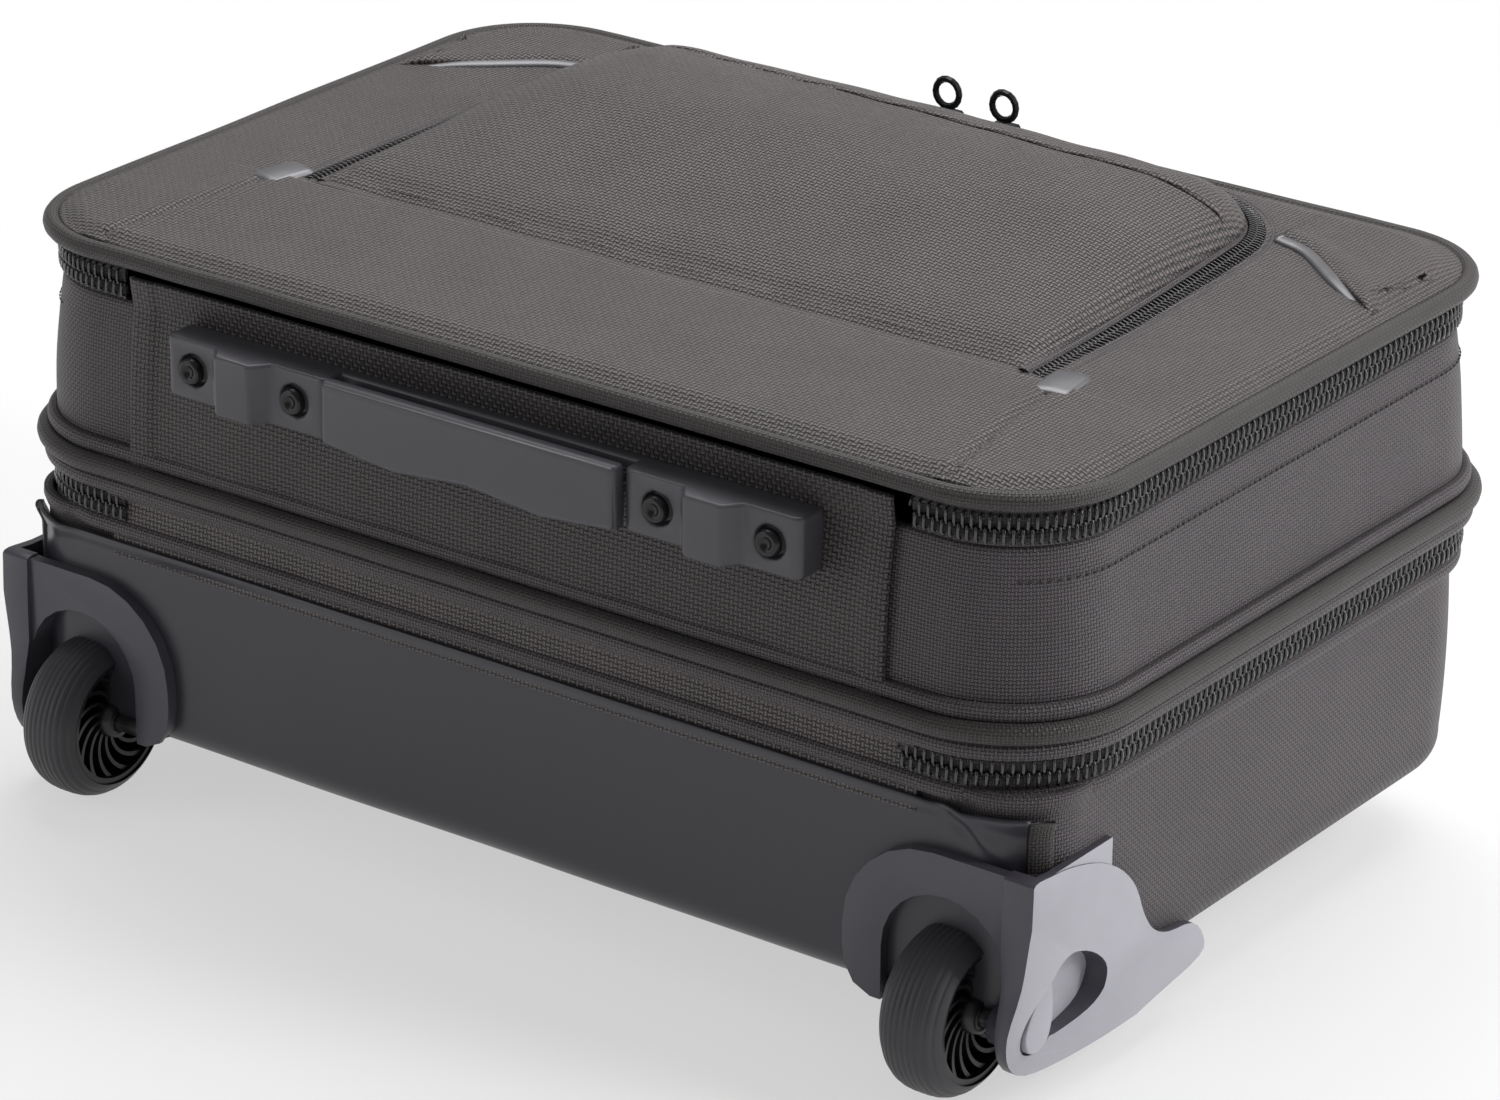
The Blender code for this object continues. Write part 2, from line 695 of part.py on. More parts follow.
def carry_handle(webbing, pivot):
    """A padded strap arched over the handle end."""
    z_low = carry_z - carry_width / 2
    face = carry_face()
    reach = carry_reach
    top = face + carry_reach
    outer = [(-carry_half - 0.020, face), (-carry_half - 0.020, face + 0.003), (-carry_half, face + 0.004),
             (-carry_half + 0.022, top - 0.005), (-carry_half + 0.034, top)]
    inner = [(-carry_half + 0.036, top - 0.009), (-carry_half + 0.026, top - 0.012),
             (-carry_half + 0.006, face)]
    mirrored = [[(-x, y) for x, y in reversed(side)] for side in (outer, inner)]
    outline = [*outer, *mirrored[0], *mirrored[1], *inner]
    return prism(outline, "Z", z_low, z_low + carry_width, "carry_handle", webbing, pivot)


def laptop_sleeve(lining, pivot):
    """A padded pouch on the divider, open at the handle end."""
    low_z = rear_zip_z + zip_half + 0.002 + divider_thickness + gap
    low_y, high_y = 0.014, case_length - 0.030
    half = sleeve_width / 2
    pouch = block((-half, low_y, low_z), (half, high_y, low_z + sleeve_depth), "laptop_sleeve", lining,
                  pivot)
    inside = block((-half + sleeve_wall, low_y + sleeve_wall, low_z + sleeve_wall),
                   (half - sleeve_wall, high_y + 0.01, low_z + sleeve_depth - sleeve_wall),
                   "sleeve_inside", None, pivot)
    combine(pouch, inside, "DIFFERENCE")


# ---- the lid and its pocket
def lid_panel(fabric, pivot):
    """A shallow tray upside down: the front panel and the wall below its piping."""
    low = main_zip_z + zip_half + gap
    edge = lid_floor - 0.0015
    profile = [(-0.020, lid_floor - wall), (front_face - wall, lid_floor - wall), (front_face - wall, low),
               (front_face, low), (front_face, edge), (front_face - 0.002, lid_floor),
               (-0.020, lid_floor)]
    return stack(profile, "lid_panel", fabric, pivot, lambda z: case_loop())


def pocket_loop(low_corner=0.012):
    return rounded_loop(pocket_half, pocket_hinge_y, pocket_far_y, (low_corner, pocket_corner))


def pocket_rise(y):
    share = (y - pocket_hinge_y) / (pocket_far_y - pocket_hinge_y)
    return pocket_rise_near + (pocket_rise_far - pocket_rise_near) * share


def pocket_run():
    """The zip's line: up one side, across the far end and down the other side."""
    loop = pocket_loop()
    start = pocket_hinge_y + tab_width + gap
    low = [station for station in loop if station[0].y > start + 0.01]
    right, left = Vector((1, 0, 0)), Vector((-1, 0, 0))
    return [(Vector((pocket_half, start, 0)), right), *low, (Vector((-pocket_half, start, 0)), left)]


def pocket_panel(fabric, pivot):
    """A shallow dome, higher at the far end, open underneath."""
    base = lid_floor + gap
    edge = -pocket_zip_half - gap
    levels = [(-0.030, 1.0, -pocket_skin), (edge - 0.010, 1.0, -pocket_skin),
              (edge - 0.005, 0.6, -pocket_skin), (edge - 0.0022, 0.0, 0.0), (edge, 0.0, 0.0),
              (edge - 0.0025, 0.6, 0.0), (edge - 0.008, 1.0, 0.0), (-0.030, 1.0, 0.0)]
    made = bmesh.new()
    rings = []
    for outset, share, sink in levels:
        ring = []
        for point, normal in pocket_loop():
            place = point + normal * outset
            rise = pocket_rise(place.y) * share + (sink if share else 0)
            ring.append(place + Vector((0, 0, base + max(rise, 0))))
        rings.append(ring)
    grid_faces(made, rings, False, True)
    return keep(made, "pocket_panel", fabric, pivot)


def slip_pocket(fabric, pivot):
    """A second skin on the dome, open along its far edge."""
    outset = -pocket_zip_half - 0.012
    made = bmesh.new()
    rings = []
    for sink in (gap, gap + slip_thickness):
        ring = []
        for x, y in ((-1, 0), (1, 0), (1, 1), (-1, 1)):
            reach = pocket_half + outset - (0.012 if y else 0)
            place_y = slip_far_y if y else pocket_hinge_y - outset
            ring.append(Vector((x * reach, place_y, lid_floor + gap + pocket_rise(place_y) + sink)))
        rings.append(ring)
    grid_faces(made, rings, False, True)
    return keep(made, "slip_pocket", fabric, pivot)


def pocket_zip(colour, lid_pivot, panel_pivot):
    low = lid_floor + gap
    high = low + pocket_zip_thickness
    outer = [(gap / 2, low), (gap / 2, high), (pocket_zip_half, high), (pocket_zip_half, low)]
    inner = [(-outset, z) for outset, z in outer]
    band(outer, pocket_run(), "pocket_zip_lid_side", colour, lid_pivot, closed=False)
    band(inner, pocket_run(), "pocket_zip_panel_side", colour, panel_pivot, closed=False)


def zip_tab(name, side, metal, pivot):
    """The end stop of the pocket zip."""
    low = lid_floor + gap
    x = side * pocket_half
    outer, inner = side * (pocket_half + tab_length / 2), side * (pocket_half - pocket_zip_half)
    lows = (min(outer, inner), pocket_hinge_y, low)
    highs = (max(outer, inner), pocket_hinge_y + tab_width, low + tab_thickness)
    return block(lows, highs, "zip_tab_" + name, metal, pivot, bevel=0.001)


# ---- zip sliders and pulls
def large_slider(kind, name, side, z, face, metal, pivots):
    """A slider outside a zip on the handle end, with a flat pull that hangs down."""
    x = side * (slider_gap + slider_length) / 2
    low_y = case_length + face + zip_thickness - 0.001 + gap
    high_y = low_y + slider_thickness
    half_x, half_z = slider_length / 2, zip_half
    slide = pivot_at(f"{kind}_{name}_run", (x, high_y, z), pivots)
    block((x - half_x, low_y, z - half_z), (x + half_x, high_y, z + half_z), f"{kind}_slider_{name}",
          metal, slide, bevel=0.001)
    hinge_y = high_y + 2 * gap + pull_thickness / 2
    swing = pivot_at(f"{kind}_{name}_swing", (x, hinge_y, z), slide)
    half_pull = pull_width / 2
    block((x - half_pull, hinge_y - pull_thickness / 2, z - pull_length),
          (x + half_pull, hinge_y + pull_thickness / 2, z + pull_thickness / 2), f"{kind}_pull_{name}",
          metal, swing)


def ring_pull(name, side, metal, pivot):
    """A slider on the pocket zip with a ring that stands on it."""
    x = side * (slider_gap + 0.008) / 2
    y = pocket_far_y
    low = lid_floor + gap + pocket_zip_thickness + gap
    high = low + slider_thickness
    slide = pivot_at(f"pocket_{name}_run", (x, y, high), pivot)
    block((x - 0.005, y - 0.004, low), (x + 0.005, y + 0.004, high), f"pocket_slider_{name}", metal,
          slide, bevel=0.0008)
    centre_z = high + gap + ring_wire + ring_radius
    swing = pivot_at(f"pocket_{name}_swing", (x, y, high + gap + ring_wire), slide)
    ring = [(ring_radius + ring_wire * math.cos(a), ring_wire * math.sin(a))
            for a in (math.pi * i / 3 for i in range(6))]
    turned(ring, (x, y, centre_z), f"pocket_pull_{name}", metal, swing, steps=16, axis="Y")


def build_case():
    clear_scene()
    fabric = material("ballistic_fabric", (0.030, 0.027, 0.027), 0.75)
    lining = material("lining", (0.020, 0.020, 0.022), 0.7)
    plastic = material("housing_plastic", (0.090, 0.088, 0.095), 0.45)
    sheet = material("kick_plate_plastic", (0.035, 0.034, 0.042), 0.4)
    coil = material("zip_coil", (0.012, 0.012, 0.013), 0.3)
    rubber = material("tyre_rubber", (0.020, 0.020, 0.022), 0.6)
    core = material("wheel_core_plastic", (0.012, 0.012, 0.013), 0.4)
    steel = material("axle_steel", (0.45, 0.45, 0.46), 0.3, 1.0)
    tube_metal = material("tube_aluminium", (0.50, 0.50, 0.52), 0.35, 1.0)
    tab_metal = material("tab_metal", (0.25, 0.25, 0.26), 0.4, 0.8)

    frame = pivot_at("case_frame", (0, 0, 0))
    low_y, high_y = wheel_y - wheel_radius, carry_face() + carry_reach
    frame.location = (0, -(low_y + high_y) / 2, floor_drop)

    cutters = housing_cutters(frame)
    shell = rear_shell(fabric, frame, cutters)
    flat_sheet(board_thickness, wall + gap, back_edge_radius - wall + 0.001, "back_board", lining, frame, cutters)
    kick_plate(sheet, frame, cutters)
    large_zip_half(rear_zip_z - zip_half, mid_face, "rear_zip_case_side", coil, frame)
    for name, side in sides():
        wheel_housing(name, side, plastic, frame)
        axle(name, side, steel, frame)
        axle_cap(name, side, plastic, frame)
        rear_foot(name, side, plastic, frame)
        spin = pivot_at("wheel_spin_" + name, (side * wheel_x, wheel_y, wheel_z), frame)
        wheel(name, side, rubber, core, spin)

    floor_y = top_y - bezel_depth
    stages = [frame]
    for stage in (1, 2, 3):
        stages.append(pivot_at(f"handle_stage_{stage}", (0, floor_y, tube_z), stages[-1]))
    press = pivot_at("button_press", (0, top_y, tube_z), stages[3])
    tube_end = handle_grip(plastic, stages[3], sheet, press)
    space = bezel(plastic, frame, shell)
    flat_sheet(0.0015, cover_z, 0.002, "tube_cover", lining, frame, [*cutters, space])
    handle_bracket(plastic, frame)
    names = ("handle_outer_tube", "handle_lower_tube", "handle_middle_tube", "handle_upper_tube")
    for stage, tube_name in enumerate(names):
        end_y = tube_end if stage == 3 else floor_y
        for name, side in sides():
            tube(stage, tube_name + "_" + name, side, tube_metal, stages[stage],
                 tube_base_y + stage * tube_step, end_y)

    middle = pivot_at("mid_hinge", (0, -flare, rear_zip_z), frame)
    mid_gusset(fabric, middle)
    mid_divider(lining, middle)
    band(round_profile(flare - mid_piping_radius, mid_piping_z, mid_piping_radius), case_loop(),
         "mid_piping", fabric, middle)
    large_zip_half(rear_zip_z + gap, mid_face, "rear_zip_mid_side", coil, middle)
    large_zip_half(main_zip_z - zip_half, front_face, "main_zip_mid_side", coil, middle)
    foot_bar(plastic, middle)
    foot_grip(plastic, middle)
    carry_handle(fabric, middle)
    laptop_sleeve(lining, middle)

    lid = pivot_at("lid_hinge", (0, 0, main_zip_z), middle)
    lid_panel(fabric, lid)
    band(round_profile(-piping_radius, front_z, piping_radius), case_loop(), "lid_piping", fabric, lid)
    large_zip_half(main_zip_z + gap, front_face, "main_zip_lid_side", coil, lid)
    pocket = pivot_at("pocket_hinge", (0, pocket_hinge_y, lid_floor), lid)
    pocket_panel(fabric, pocket)
    slip_pocket(fabric, pocket)
    pocket_zip(coil, lid, pocket)
    for name, side in sides():
        zip_tab(name, side, tab_metal, lid)
        large_slider("main", name, side, main_zip_z, front_face, tab_metal, lid)
        large_slider("rear", name, side, rear_zip_z, mid_face, tab_metal, middle)
        ring_pull(name, side, tab_metal, pocket)


build_case()
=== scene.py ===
import json
import math
import bmesh
import bpy
import numpy as np
from mathutils import Matrix, Vector

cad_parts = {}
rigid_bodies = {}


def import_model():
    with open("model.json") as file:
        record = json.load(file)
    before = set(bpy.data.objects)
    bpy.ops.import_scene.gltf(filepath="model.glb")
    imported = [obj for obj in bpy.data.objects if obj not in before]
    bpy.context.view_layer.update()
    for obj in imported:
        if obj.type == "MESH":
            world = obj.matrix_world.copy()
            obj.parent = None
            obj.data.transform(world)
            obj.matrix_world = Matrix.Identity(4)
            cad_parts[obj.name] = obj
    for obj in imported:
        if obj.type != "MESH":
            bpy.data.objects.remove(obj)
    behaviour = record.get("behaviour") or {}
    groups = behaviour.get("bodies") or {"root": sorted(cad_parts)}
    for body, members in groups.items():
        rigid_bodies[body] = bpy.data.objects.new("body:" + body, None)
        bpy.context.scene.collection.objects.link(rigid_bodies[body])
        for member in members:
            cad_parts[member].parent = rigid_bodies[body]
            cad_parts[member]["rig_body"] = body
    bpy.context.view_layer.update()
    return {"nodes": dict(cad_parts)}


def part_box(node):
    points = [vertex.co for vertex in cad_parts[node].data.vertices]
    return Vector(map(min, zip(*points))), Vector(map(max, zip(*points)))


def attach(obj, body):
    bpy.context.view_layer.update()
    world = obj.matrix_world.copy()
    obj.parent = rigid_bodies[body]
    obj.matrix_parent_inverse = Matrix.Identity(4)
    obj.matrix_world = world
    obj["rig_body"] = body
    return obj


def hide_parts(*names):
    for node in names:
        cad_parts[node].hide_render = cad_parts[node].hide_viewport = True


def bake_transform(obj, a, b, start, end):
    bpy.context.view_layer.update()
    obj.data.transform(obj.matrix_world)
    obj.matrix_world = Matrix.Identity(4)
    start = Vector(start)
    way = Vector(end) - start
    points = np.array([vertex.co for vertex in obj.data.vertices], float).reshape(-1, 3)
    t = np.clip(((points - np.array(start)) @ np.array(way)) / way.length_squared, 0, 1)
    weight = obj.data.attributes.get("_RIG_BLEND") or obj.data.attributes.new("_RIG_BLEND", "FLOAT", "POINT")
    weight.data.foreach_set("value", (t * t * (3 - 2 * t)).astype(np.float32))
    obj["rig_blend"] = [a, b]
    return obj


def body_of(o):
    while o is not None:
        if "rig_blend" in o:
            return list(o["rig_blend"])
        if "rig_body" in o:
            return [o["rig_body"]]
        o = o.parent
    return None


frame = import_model()
print("frame loaded:", len(frame["nodes"]), "CAD nodes")

mm = 0.001
case = {
    "cornerRadius": 43 * mm,        # of the front and middle outlines
    "wheelCornerRadius": 28 * mm,   # of the rear tub at the wheel end
    "step": 2.5 * mm,               # spacing of points along the outlines
    "zipStart": 160 * mm,           # the large zips end this far to each side of the middle
    "zipInset": 2.6 * mm,           # from a large zip's CAD face in to its tape
    "tapeWidth": 5.4 * mm,          # one side of a large zip's tape
    "tubFace": -5 * mm,             # the rear tub's wall, inside the front outline
    "tubEdge": 12 * mm,             # rounding between the tub's wall and back
}


def box(node):
    # a CAD piece's low and high corners, as arrays
    return tuple(np.array(corner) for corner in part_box(node))


# levels and faces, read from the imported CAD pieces
frontLow, frontHigh = box("lid_piping")
midLow, midHigh = box("mid_piping")
halfWidth = frontHigh[0]
wheelEnd, handleEnd = frontLow[1], frontHigh[1]
frontZ = (frontLow[2] + frontHigh[2]) / 2
midZ = (midLow[2] + midHigh[2]) / 2
pipeRadius = (frontHigh[2] - frontLow[2]) / 2
midPipeRadius = (midHigh[2] - midLow[2]) / 2
flare = midHigh[0] - halfWidth
mainZipZ = box("main_zip_lid_side")[0][2]
rearZipZ = box("rear_zip_mid_side")[0][2]
backZ = box("rear_shell")[0][2]
panelZ = box("lid_panel")[1][2]


def keepMesh(name, points, faces, material, body=None, uv=None, smooth=True):
    # points (n, 3); faces (m, 4) or a list; uv (m, 4, 2) in metres
    mesh = bpy.data.meshes.new(name)
    mesh.from_pydata(points.reshape(-1, 3).tolist(), [], faces if isinstance(faces, list) else faces.tolist())
    if uv is not None:
        mesh.uv_layers.new(name="weave").data.foreach_set("uv", np.ascontiguousarray(uv, np.float32).ravel())
    mesh.polygons.foreach_set("use_smooth", np.full(len(mesh.polygons), smooth))
    mesh.materials.append(material)
    made = bpy.data.objects.new(name, mesh)
    bpy.context.collection.objects.link(made)
    if body:
        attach(made, body)
    return made


def gridFaces(rows, columns, wrapRows, wrapColumns, start=0):
    # corner indices of every quad of a grid, row by row
    i = np.arange(rows if wrapRows else rows - 1)
    j = np.arange(columns if wrapColumns else columns - 1)
    a, b = np.meshgrid(i, j, indexing="ij")
    c, d = (a + 1) % rows, (b + 1) % columns
    quads = np.stack([a * columns + b, c * columns + b, c * columns + d, a * columns + d], -1)
    return quads.reshape(-1, 4) + start


def gridUv(u, v, wrapRows, wrapColumns):
    # the same corners' UV: u per row and v per column, one longer where the grid wraps
    i = np.arange(len(u) - 1)
    j = np.arange(len(v) - 1)
    a, b = np.meshgrid(i, j, indexing="ij")
    corners = [(u[a + p], v[b + q]) for p, q in ((0, 0), (1, 0), (1, 1), (0, 1))]
    return np.stack([np.stack(c, -1) for c in corners], 2).reshape(-1, 4, 2)


def flipIfInside(made):
    # turns a closed mesh the right way when its signed volume is negative
    work = bmesh.new()
    work.from_mesh(made.data)
    if work.calc_volume(signed=True) < 0:
        bmesh.ops.reverse_faces(work, faces=work.faces[:])
        work.to_mesh(made.data)
    work.free()
    return made


def carried(name, places, normals, profile, material, body=None, closed=True, ups=None):
    # surface(s, t) = place(s) + outset(t) * normal(s) + height(t) * up(s); the profile closes on itself
    ups = np.broadcast_to([0.0, 0.0, 1.0], places.shape) if ups is None else ups
    profile = np.asarray(profile, float)
    if profile.ndim == 2:
        profile = np.broadcast_to(profile, (len(places), *profile.shape))
    points = (places[:, None] + profile[..., :1] * normals[:, None] + profile[..., 1:] * ups[:, None])
    rows, columns = points.shape[:2]
    faces = gridFaces(rows, columns, closed, True)
    gaps = np.linalg.norm(np.diff(places, axis=0, append=places[:1]), axis=1)
    u = np.concatenate([[0], np.cumsum(gaps)])[:rows + (1 if closed else 0)]
    around = np.linalg.norm(np.diff(profile[0], axis=0, append=profile[0][:1]), axis=1)
    v = np.concatenate([[0], np.cumsum(around)])
    uv = gridUv(u, v, closed, True)
    if not closed:
        faces = faces.tolist() + [list(range(columns))[::-1],
                                  list(range((rows - 1) * columns, rows * columns))]
        uv = np.concatenate([uv.reshape(-1, 2), np.zeros((2 * columns, 2))])
    made = keepMesh(name, points, faces, material, None, uv)
    flipIfInside(made)
    if body:
        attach(made, body)
    return made


def sheetMesh(name, points, material, uv=None, body=None, thickness=0.0):
    # an open grid of points (rows, columns, 3); thickness gives it a back
    rows, columns = points.shape[:2]
    faces = gridFaces(rows, columns, False, False)
    if uv is None:
        uv = points[..., :2]
    flat = uv.reshape(-1, 2)[faces]
    made = keepMesh(name, points, faces, material, None, flat)
    if thickness:
        solid = made.modifiers.new("back", "SOLIDIFY")
        solid.thickness = thickness
        solid.offset = -1
    if body:
        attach(made, body)
    return made


def outline(half, low, high, lowRadius, highRadius, step=case["step"]):
    # stations round a rectangle with rounded corners, counter-clockwise from the middle of the low side
    def line(a, b, normal):
        count = max(2, int(np.linalg.norm(np.subtract(b, a)) / step))
        share = np.arange(count)[:, None] / count
        return np.array(a) + share * np.subtract(b, a), np.tile(normal, (count, 1))

    def turn(centre, radius, start):
        count = max(6, int(radius * math.pi / 2 / step * 1.3))
        angle = np.radians(start + 90 * np.arange(count) / count)
        normal = np.stack([np.cos(angle), np.sin(angle)], 1)
        return np.array(centre) + radius * normal, normal

    lowR, highR = lowRadius, highRadius
    runs = [line((0, low), (half - lowR, low), (0, -1)),
            turn((half - lowR, low + lowR), lowR, -90),
            line((half, low + lowR), (half, high - highR), (1, 0)),
            turn((half - highR, high - highR), highR, 0),
            line((half - highR, high), (highR - half, high), (0, 1)),
            turn((highR - half, high - highR), highR, 90),
            line((-half, high - highR), (-half, low + lowR), (-1, 0)),
            turn((lowR - half, low + lowR), lowR, 180),
            line((lowR - half, low), (0, low), (0, -1))]
    place = np.concatenate([r[0] for r in runs])
    normal = np.concatenate([r[1] for r in runs])
    zero = np.zeros((len(place), 1))
    return np.hstack([place, zero]), np.hstack([normal, zero])


def caseOutline(lowRadius=None, step=case["step"]):
    # the front outline; the wheel end's corners may have a radius of their own
    return outline(halfWidth, wheelEnd, handleEnd, lowRadius or case["cornerRadius"], case["cornerRadius"],
                   step)


def openRun(places, normals, startX, low):
    # the outline's long way round, from (startX, low) over the handle end to (-startX, low)
    keep = ~((np.abs(places[:, 0]) < startX) & (np.abs(places[:, 1] - low) < 1e-5))
    first, last = np.array([[startX, low, 0]]), np.array([[-startX, low, 0]])
    down = np.array([[0, -1.0, 0]])
    return np.vstack([first, places[keep], last]), np.vstack([down, normals[keep], down])


def resampled(places, normals, spacing):
    # the same line with points evenly spaced along it
    along = np.concatenate([[0], np.cumsum(np.linalg.norm(np.diff(places, axis=0), axis=1))])
    count = max(2, int(along[-1] / spacing))
    even = np.linspace(0, along[-1], count)
    place = np.stack([np.interp(even, along, places[:, k]) for k in range(3)], 1)
    normal = np.stack([np.interp(even, along, normals[:, k]) for k in range(3)], 1)
    return place, normal / np.linalg.norm(normal, axis=1, keepdims=True), even


def ripple(x, y, size, seed):
    # a smooth unevenness from -1 to 1: five crossed waves about size long
    draw = np.random.default_rng(seed)
    total = 0
    for _ in range(5):
        angle, phase, scale = draw.uniform(0, 6.3), draw.uniform(0, 6.3), draw.uniform(0.7, 1.6)
        total = total + np.sin((x * math.cos(angle) + y * math.sin(angle)) * 6.3 / size * scale + phase)
    return total / 5


def sideName(side):
    return "Left" if side < 0 else "Right"


def smoothStep(low, high, value):
    share = np.clip((value - low) / (high - low), 0, 1)
    return share * share * (3 - 2 * share)


def tubeAlong(name, centre, radius, material, body=None, sides=6, closed=False):
    # a round tube: centre(s) + radius * (cos t * a(s) + sin t * b(s)), a and b square to the line
    if closed:
        tangent = np.roll(centre, -1, 0) - np.roll(centre, 1, 0)
    else:
        tangent = np.gradient(centre, axis=0)
    tangent /= np.linalg.norm(tangent, axis=1, keepdims=True)
    helper = np.where(np.abs(tangent[:, 2:]) < 0.9, [[0.0, 0.0, 1.0]], [[1.0, 0.0, 0.0]])
    a = np.cross(tangent, helper)
    a /= np.linalg.norm(a, axis=1, keepdims=True)
    b = np.cross(tangent, a)
    turn = 2 * math.pi * np.arange(sides) / sides
    ring = np.cos(turn)[:, None] * a[:, None] + np.sin(turn)[:, None] * b[:, None]
    points = centre[:, None] + radius * ring
    rows = len(centre)
    faces = gridFaces(rows, sides, closed, True)
    if not closed:
        faces = faces.tolist() + [list(range(sides))[::-1], list(range((rows - 1) * sides, rows * sides))]
    made = keepMesh(name, points, faces, material)
    flipIfInside(made)
    if body:
        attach(made, body)
    return made


def linear(hexColour):
    # sRGB hex to linear RGBA
    value = np.array([int(hexColour[i:i + 2], 16) for i in (1, 3, 5)]) / 255
    value = np.where(value <= 0.04045, value / 12.92, ((value + 0.055) / 1.055) ** 2.4)
    return (*value.tolist(), 1.0)


def add(tree, kind, links=(), **settings):
    # one node: links are (input, socket) pairs, settings are properties or socket values
    node = tree.nodes.new(kind)
    for key, value in settings.items():
        if key.startswith("in"):
            node.inputs[int(key[2:])].default_value = value
        else:
            setattr(node, key, value)
    for socket, source in links:
        tree.links.new(source, node.inputs[socket])
    return node


def newMaterial(name, hexColour, roughness, metallic=0.0, **sockets):
    made = bpy.data.materials.new(name)
    made.use_nodes = True
    shader = made.node_tree.nodes["Principled BSDF"]
    shader.inputs["Base Color"].default_value = linear(hexColour)
    shader.inputs["Roughness"].default_value = roughness
    shader.inputs["Metallic"].default_value = metallic
    for key, value in sockets.items():
        shader.inputs[key.replace("_", " ")].default_value = value
    return made, made.node_tree, shader


def wovenMaterial(name, gapShadeHex, lightHex, pitch, roughness, strength=0.6, worn=0.25):
    # nylon yarns crossing over and under: the yarn on top is |sin| across itself, chosen by the cell's parity;
    # the colour follows that height, near black in the gaps between yarns, which is painted shade
    made, tree, shader = newMaterial(name, lightHex, roughness, Sheen_Weight=0.12, Sheen_Roughness=0.5)
    uv = add(tree, "ShaderNodeUVMap", uv_map="weave")
    parts = add(tree, "ShaderNodeSeparateXYZ", [(0, uv.outputs[0])])
    sines = []
    for axis in (0, 1):
        turn = add(tree, "ShaderNodeMath", [(0, parts.outputs[axis])], operation="MULTIPLY",
                   in1=math.pi / pitch)
        sines.append(add(tree, "ShaderNodeMath", [(0, turn.outputs[0])], operation="SINE"))
    parity = add(tree, "ShaderNodeMath", [(0, sines[0].outputs[0]), (1, sines[1].outputs[0])],
                 operation="MULTIPLY")
    choose = add(tree, "ShaderNodeMath", [(0, parity.outputs[0])], operation="MULTIPLY_ADD", in1=4.0, in2=0.5,
                 use_clamp=True)
    ridges = [add(tree, "ShaderNodeMath", [(0, s.outputs[0])], operation="ABSOLUTE") for s in sines]
    height = add(tree, "ShaderNodeMix", [(0, choose.outputs[0]), (2, ridges[0].outputs[0]),
                                         (3, ridges[1].outputs[0])], data_type="FLOAT")
    deep = add(tree, "ShaderNodeMath", [(0, height.outputs[0])], operation="POWER", in1=3.2)
    place = add(tree, "ShaderNodeTexCoord")
    blotch = add(tree, "ShaderNodeTexNoise", [("Vector", place.outputs["Object"])], noise_dimensions="3D")
    blotch.inputs["Scale"].default_value = 1 / 0.030    # rubbed and dusty patches about 30 mm across
    blotch.inputs["Detail"].default_value = 4.0
    yarn = add(tree, "ShaderNodeTexNoise", [("Vector", uv.outputs[0])], noise_dimensions="3D")
    yarn.inputs["Scale"].default_value = 1 / (2.5 * pitch)
    yarn.inputs["Detail"].default_value = 2.0
    lift = add(tree, "ShaderNodeMath", [(0, blotch.outputs["Fac"]), (1, yarn.outputs["Fac"])], operation="ADD")
    shade = add(tree, "ShaderNodeMath", [(0, lift.outputs[0])], operation="MULTIPLY_ADD", in1=worn, in2=-worn)
    tone = add(tree, "ShaderNodeMath", [(0, deep.outputs[0]), (1, shade.outputs[0])], operation="ADD",
               use_clamp=True)
    # colour by height: the near-black gap colour in the weave's low places is painted shade, the yarn's colour
    # on its crowns
    colour = add(tree, "ShaderNodeMix", [(0, tone.outputs[0])], data_type="RGBA")
    colour.inputs[6].default_value = linear(gapShadeHex)
    colour.inputs[7].default_value = linear(lightHex)
    tree.links.new(colour.outputs[2], shader.inputs["Base Color"])
    bump = add(tree, "ShaderNodeBump", [("Height", height.outputs[0])])
    bump.inputs["Strength"].default_value = strength
    bump.inputs["Distance"].default_value = 0.25 * pitch
    tree.links.new(bump.outputs[0], shader.inputs["Normal"])
    return made


def mouldedMaterial(name, hexColour, roughness, grain, depth, spread=0.08, metallic=0.0, **sockets):
    # moulded plastic or rubber: a fine grain in the normal and a slight unevenness in the gloss
    made, tree, shader = newMaterial(name, hexColour, roughness, metallic, **sockets)
    place = add(tree, "ShaderNodeTexCoord")
    noise = add(tree, "ShaderNodeTexNoise", [("Vector", place.outputs["Object"])], noise_dimensions="3D")
    noise.inputs["Scale"].default_value = 1 / grain
    noise.inputs["Detail"].default_value = 3.0
    wide = add(tree, "ShaderNodeTexNoise", [("Vector", place.outputs["Object"])], noise_dimensions="3D")
    wide.inputs["Scale"].default_value = 1 / 0.025      # handling marks about 25 mm across
    wide.inputs["Detail"].default_value = 5.0
    gloss = add(tree, "ShaderNodeMapRange", [("Value", wide.outputs["Fac"])])
    gloss.inputs["From Min"].default_value = 0.3
    gloss.inputs["From Max"].default_value = 0.7
    gloss.inputs["To Min"].default_value = roughness - spread
    gloss.inputs["To Max"].default_value = roughness + spread
    tree.links.new(gloss.outputs[0], shader.inputs["Roughness"])
    base = np.array(linear(hexColour)[:3])
    colour = add(tree, "ShaderNodeMix", [(0, wide.outputs["Fac"])], data_type="RGBA")
    colour.inputs[6].default_value = (*(base * 0.85).tolist(), 1)
    colour.inputs[7].default_value = (*np.minimum(base * 1.15, 1).tolist(), 1)
    tree.links.new(colour.outputs[2], shader.inputs["Base Color"])
    bump = add(tree, "ShaderNodeBump", [("Height", noise.outputs["Fac"])])
    bump.inputs["Strength"].default_value = 0.5
    bump.inputs["Distance"].default_value = depth
    tree.links.new(bump.outputs[0], shader.inputs["Normal"])
    return made


# ballistic nylon, woven from thick yarns: coarse crossing dots with painted shade in the gaps
coarseWeave = wovenMaterial("ballisticNylon", "#020202", "#6d6362", 1.7 * mm, 0.5, 1.0)
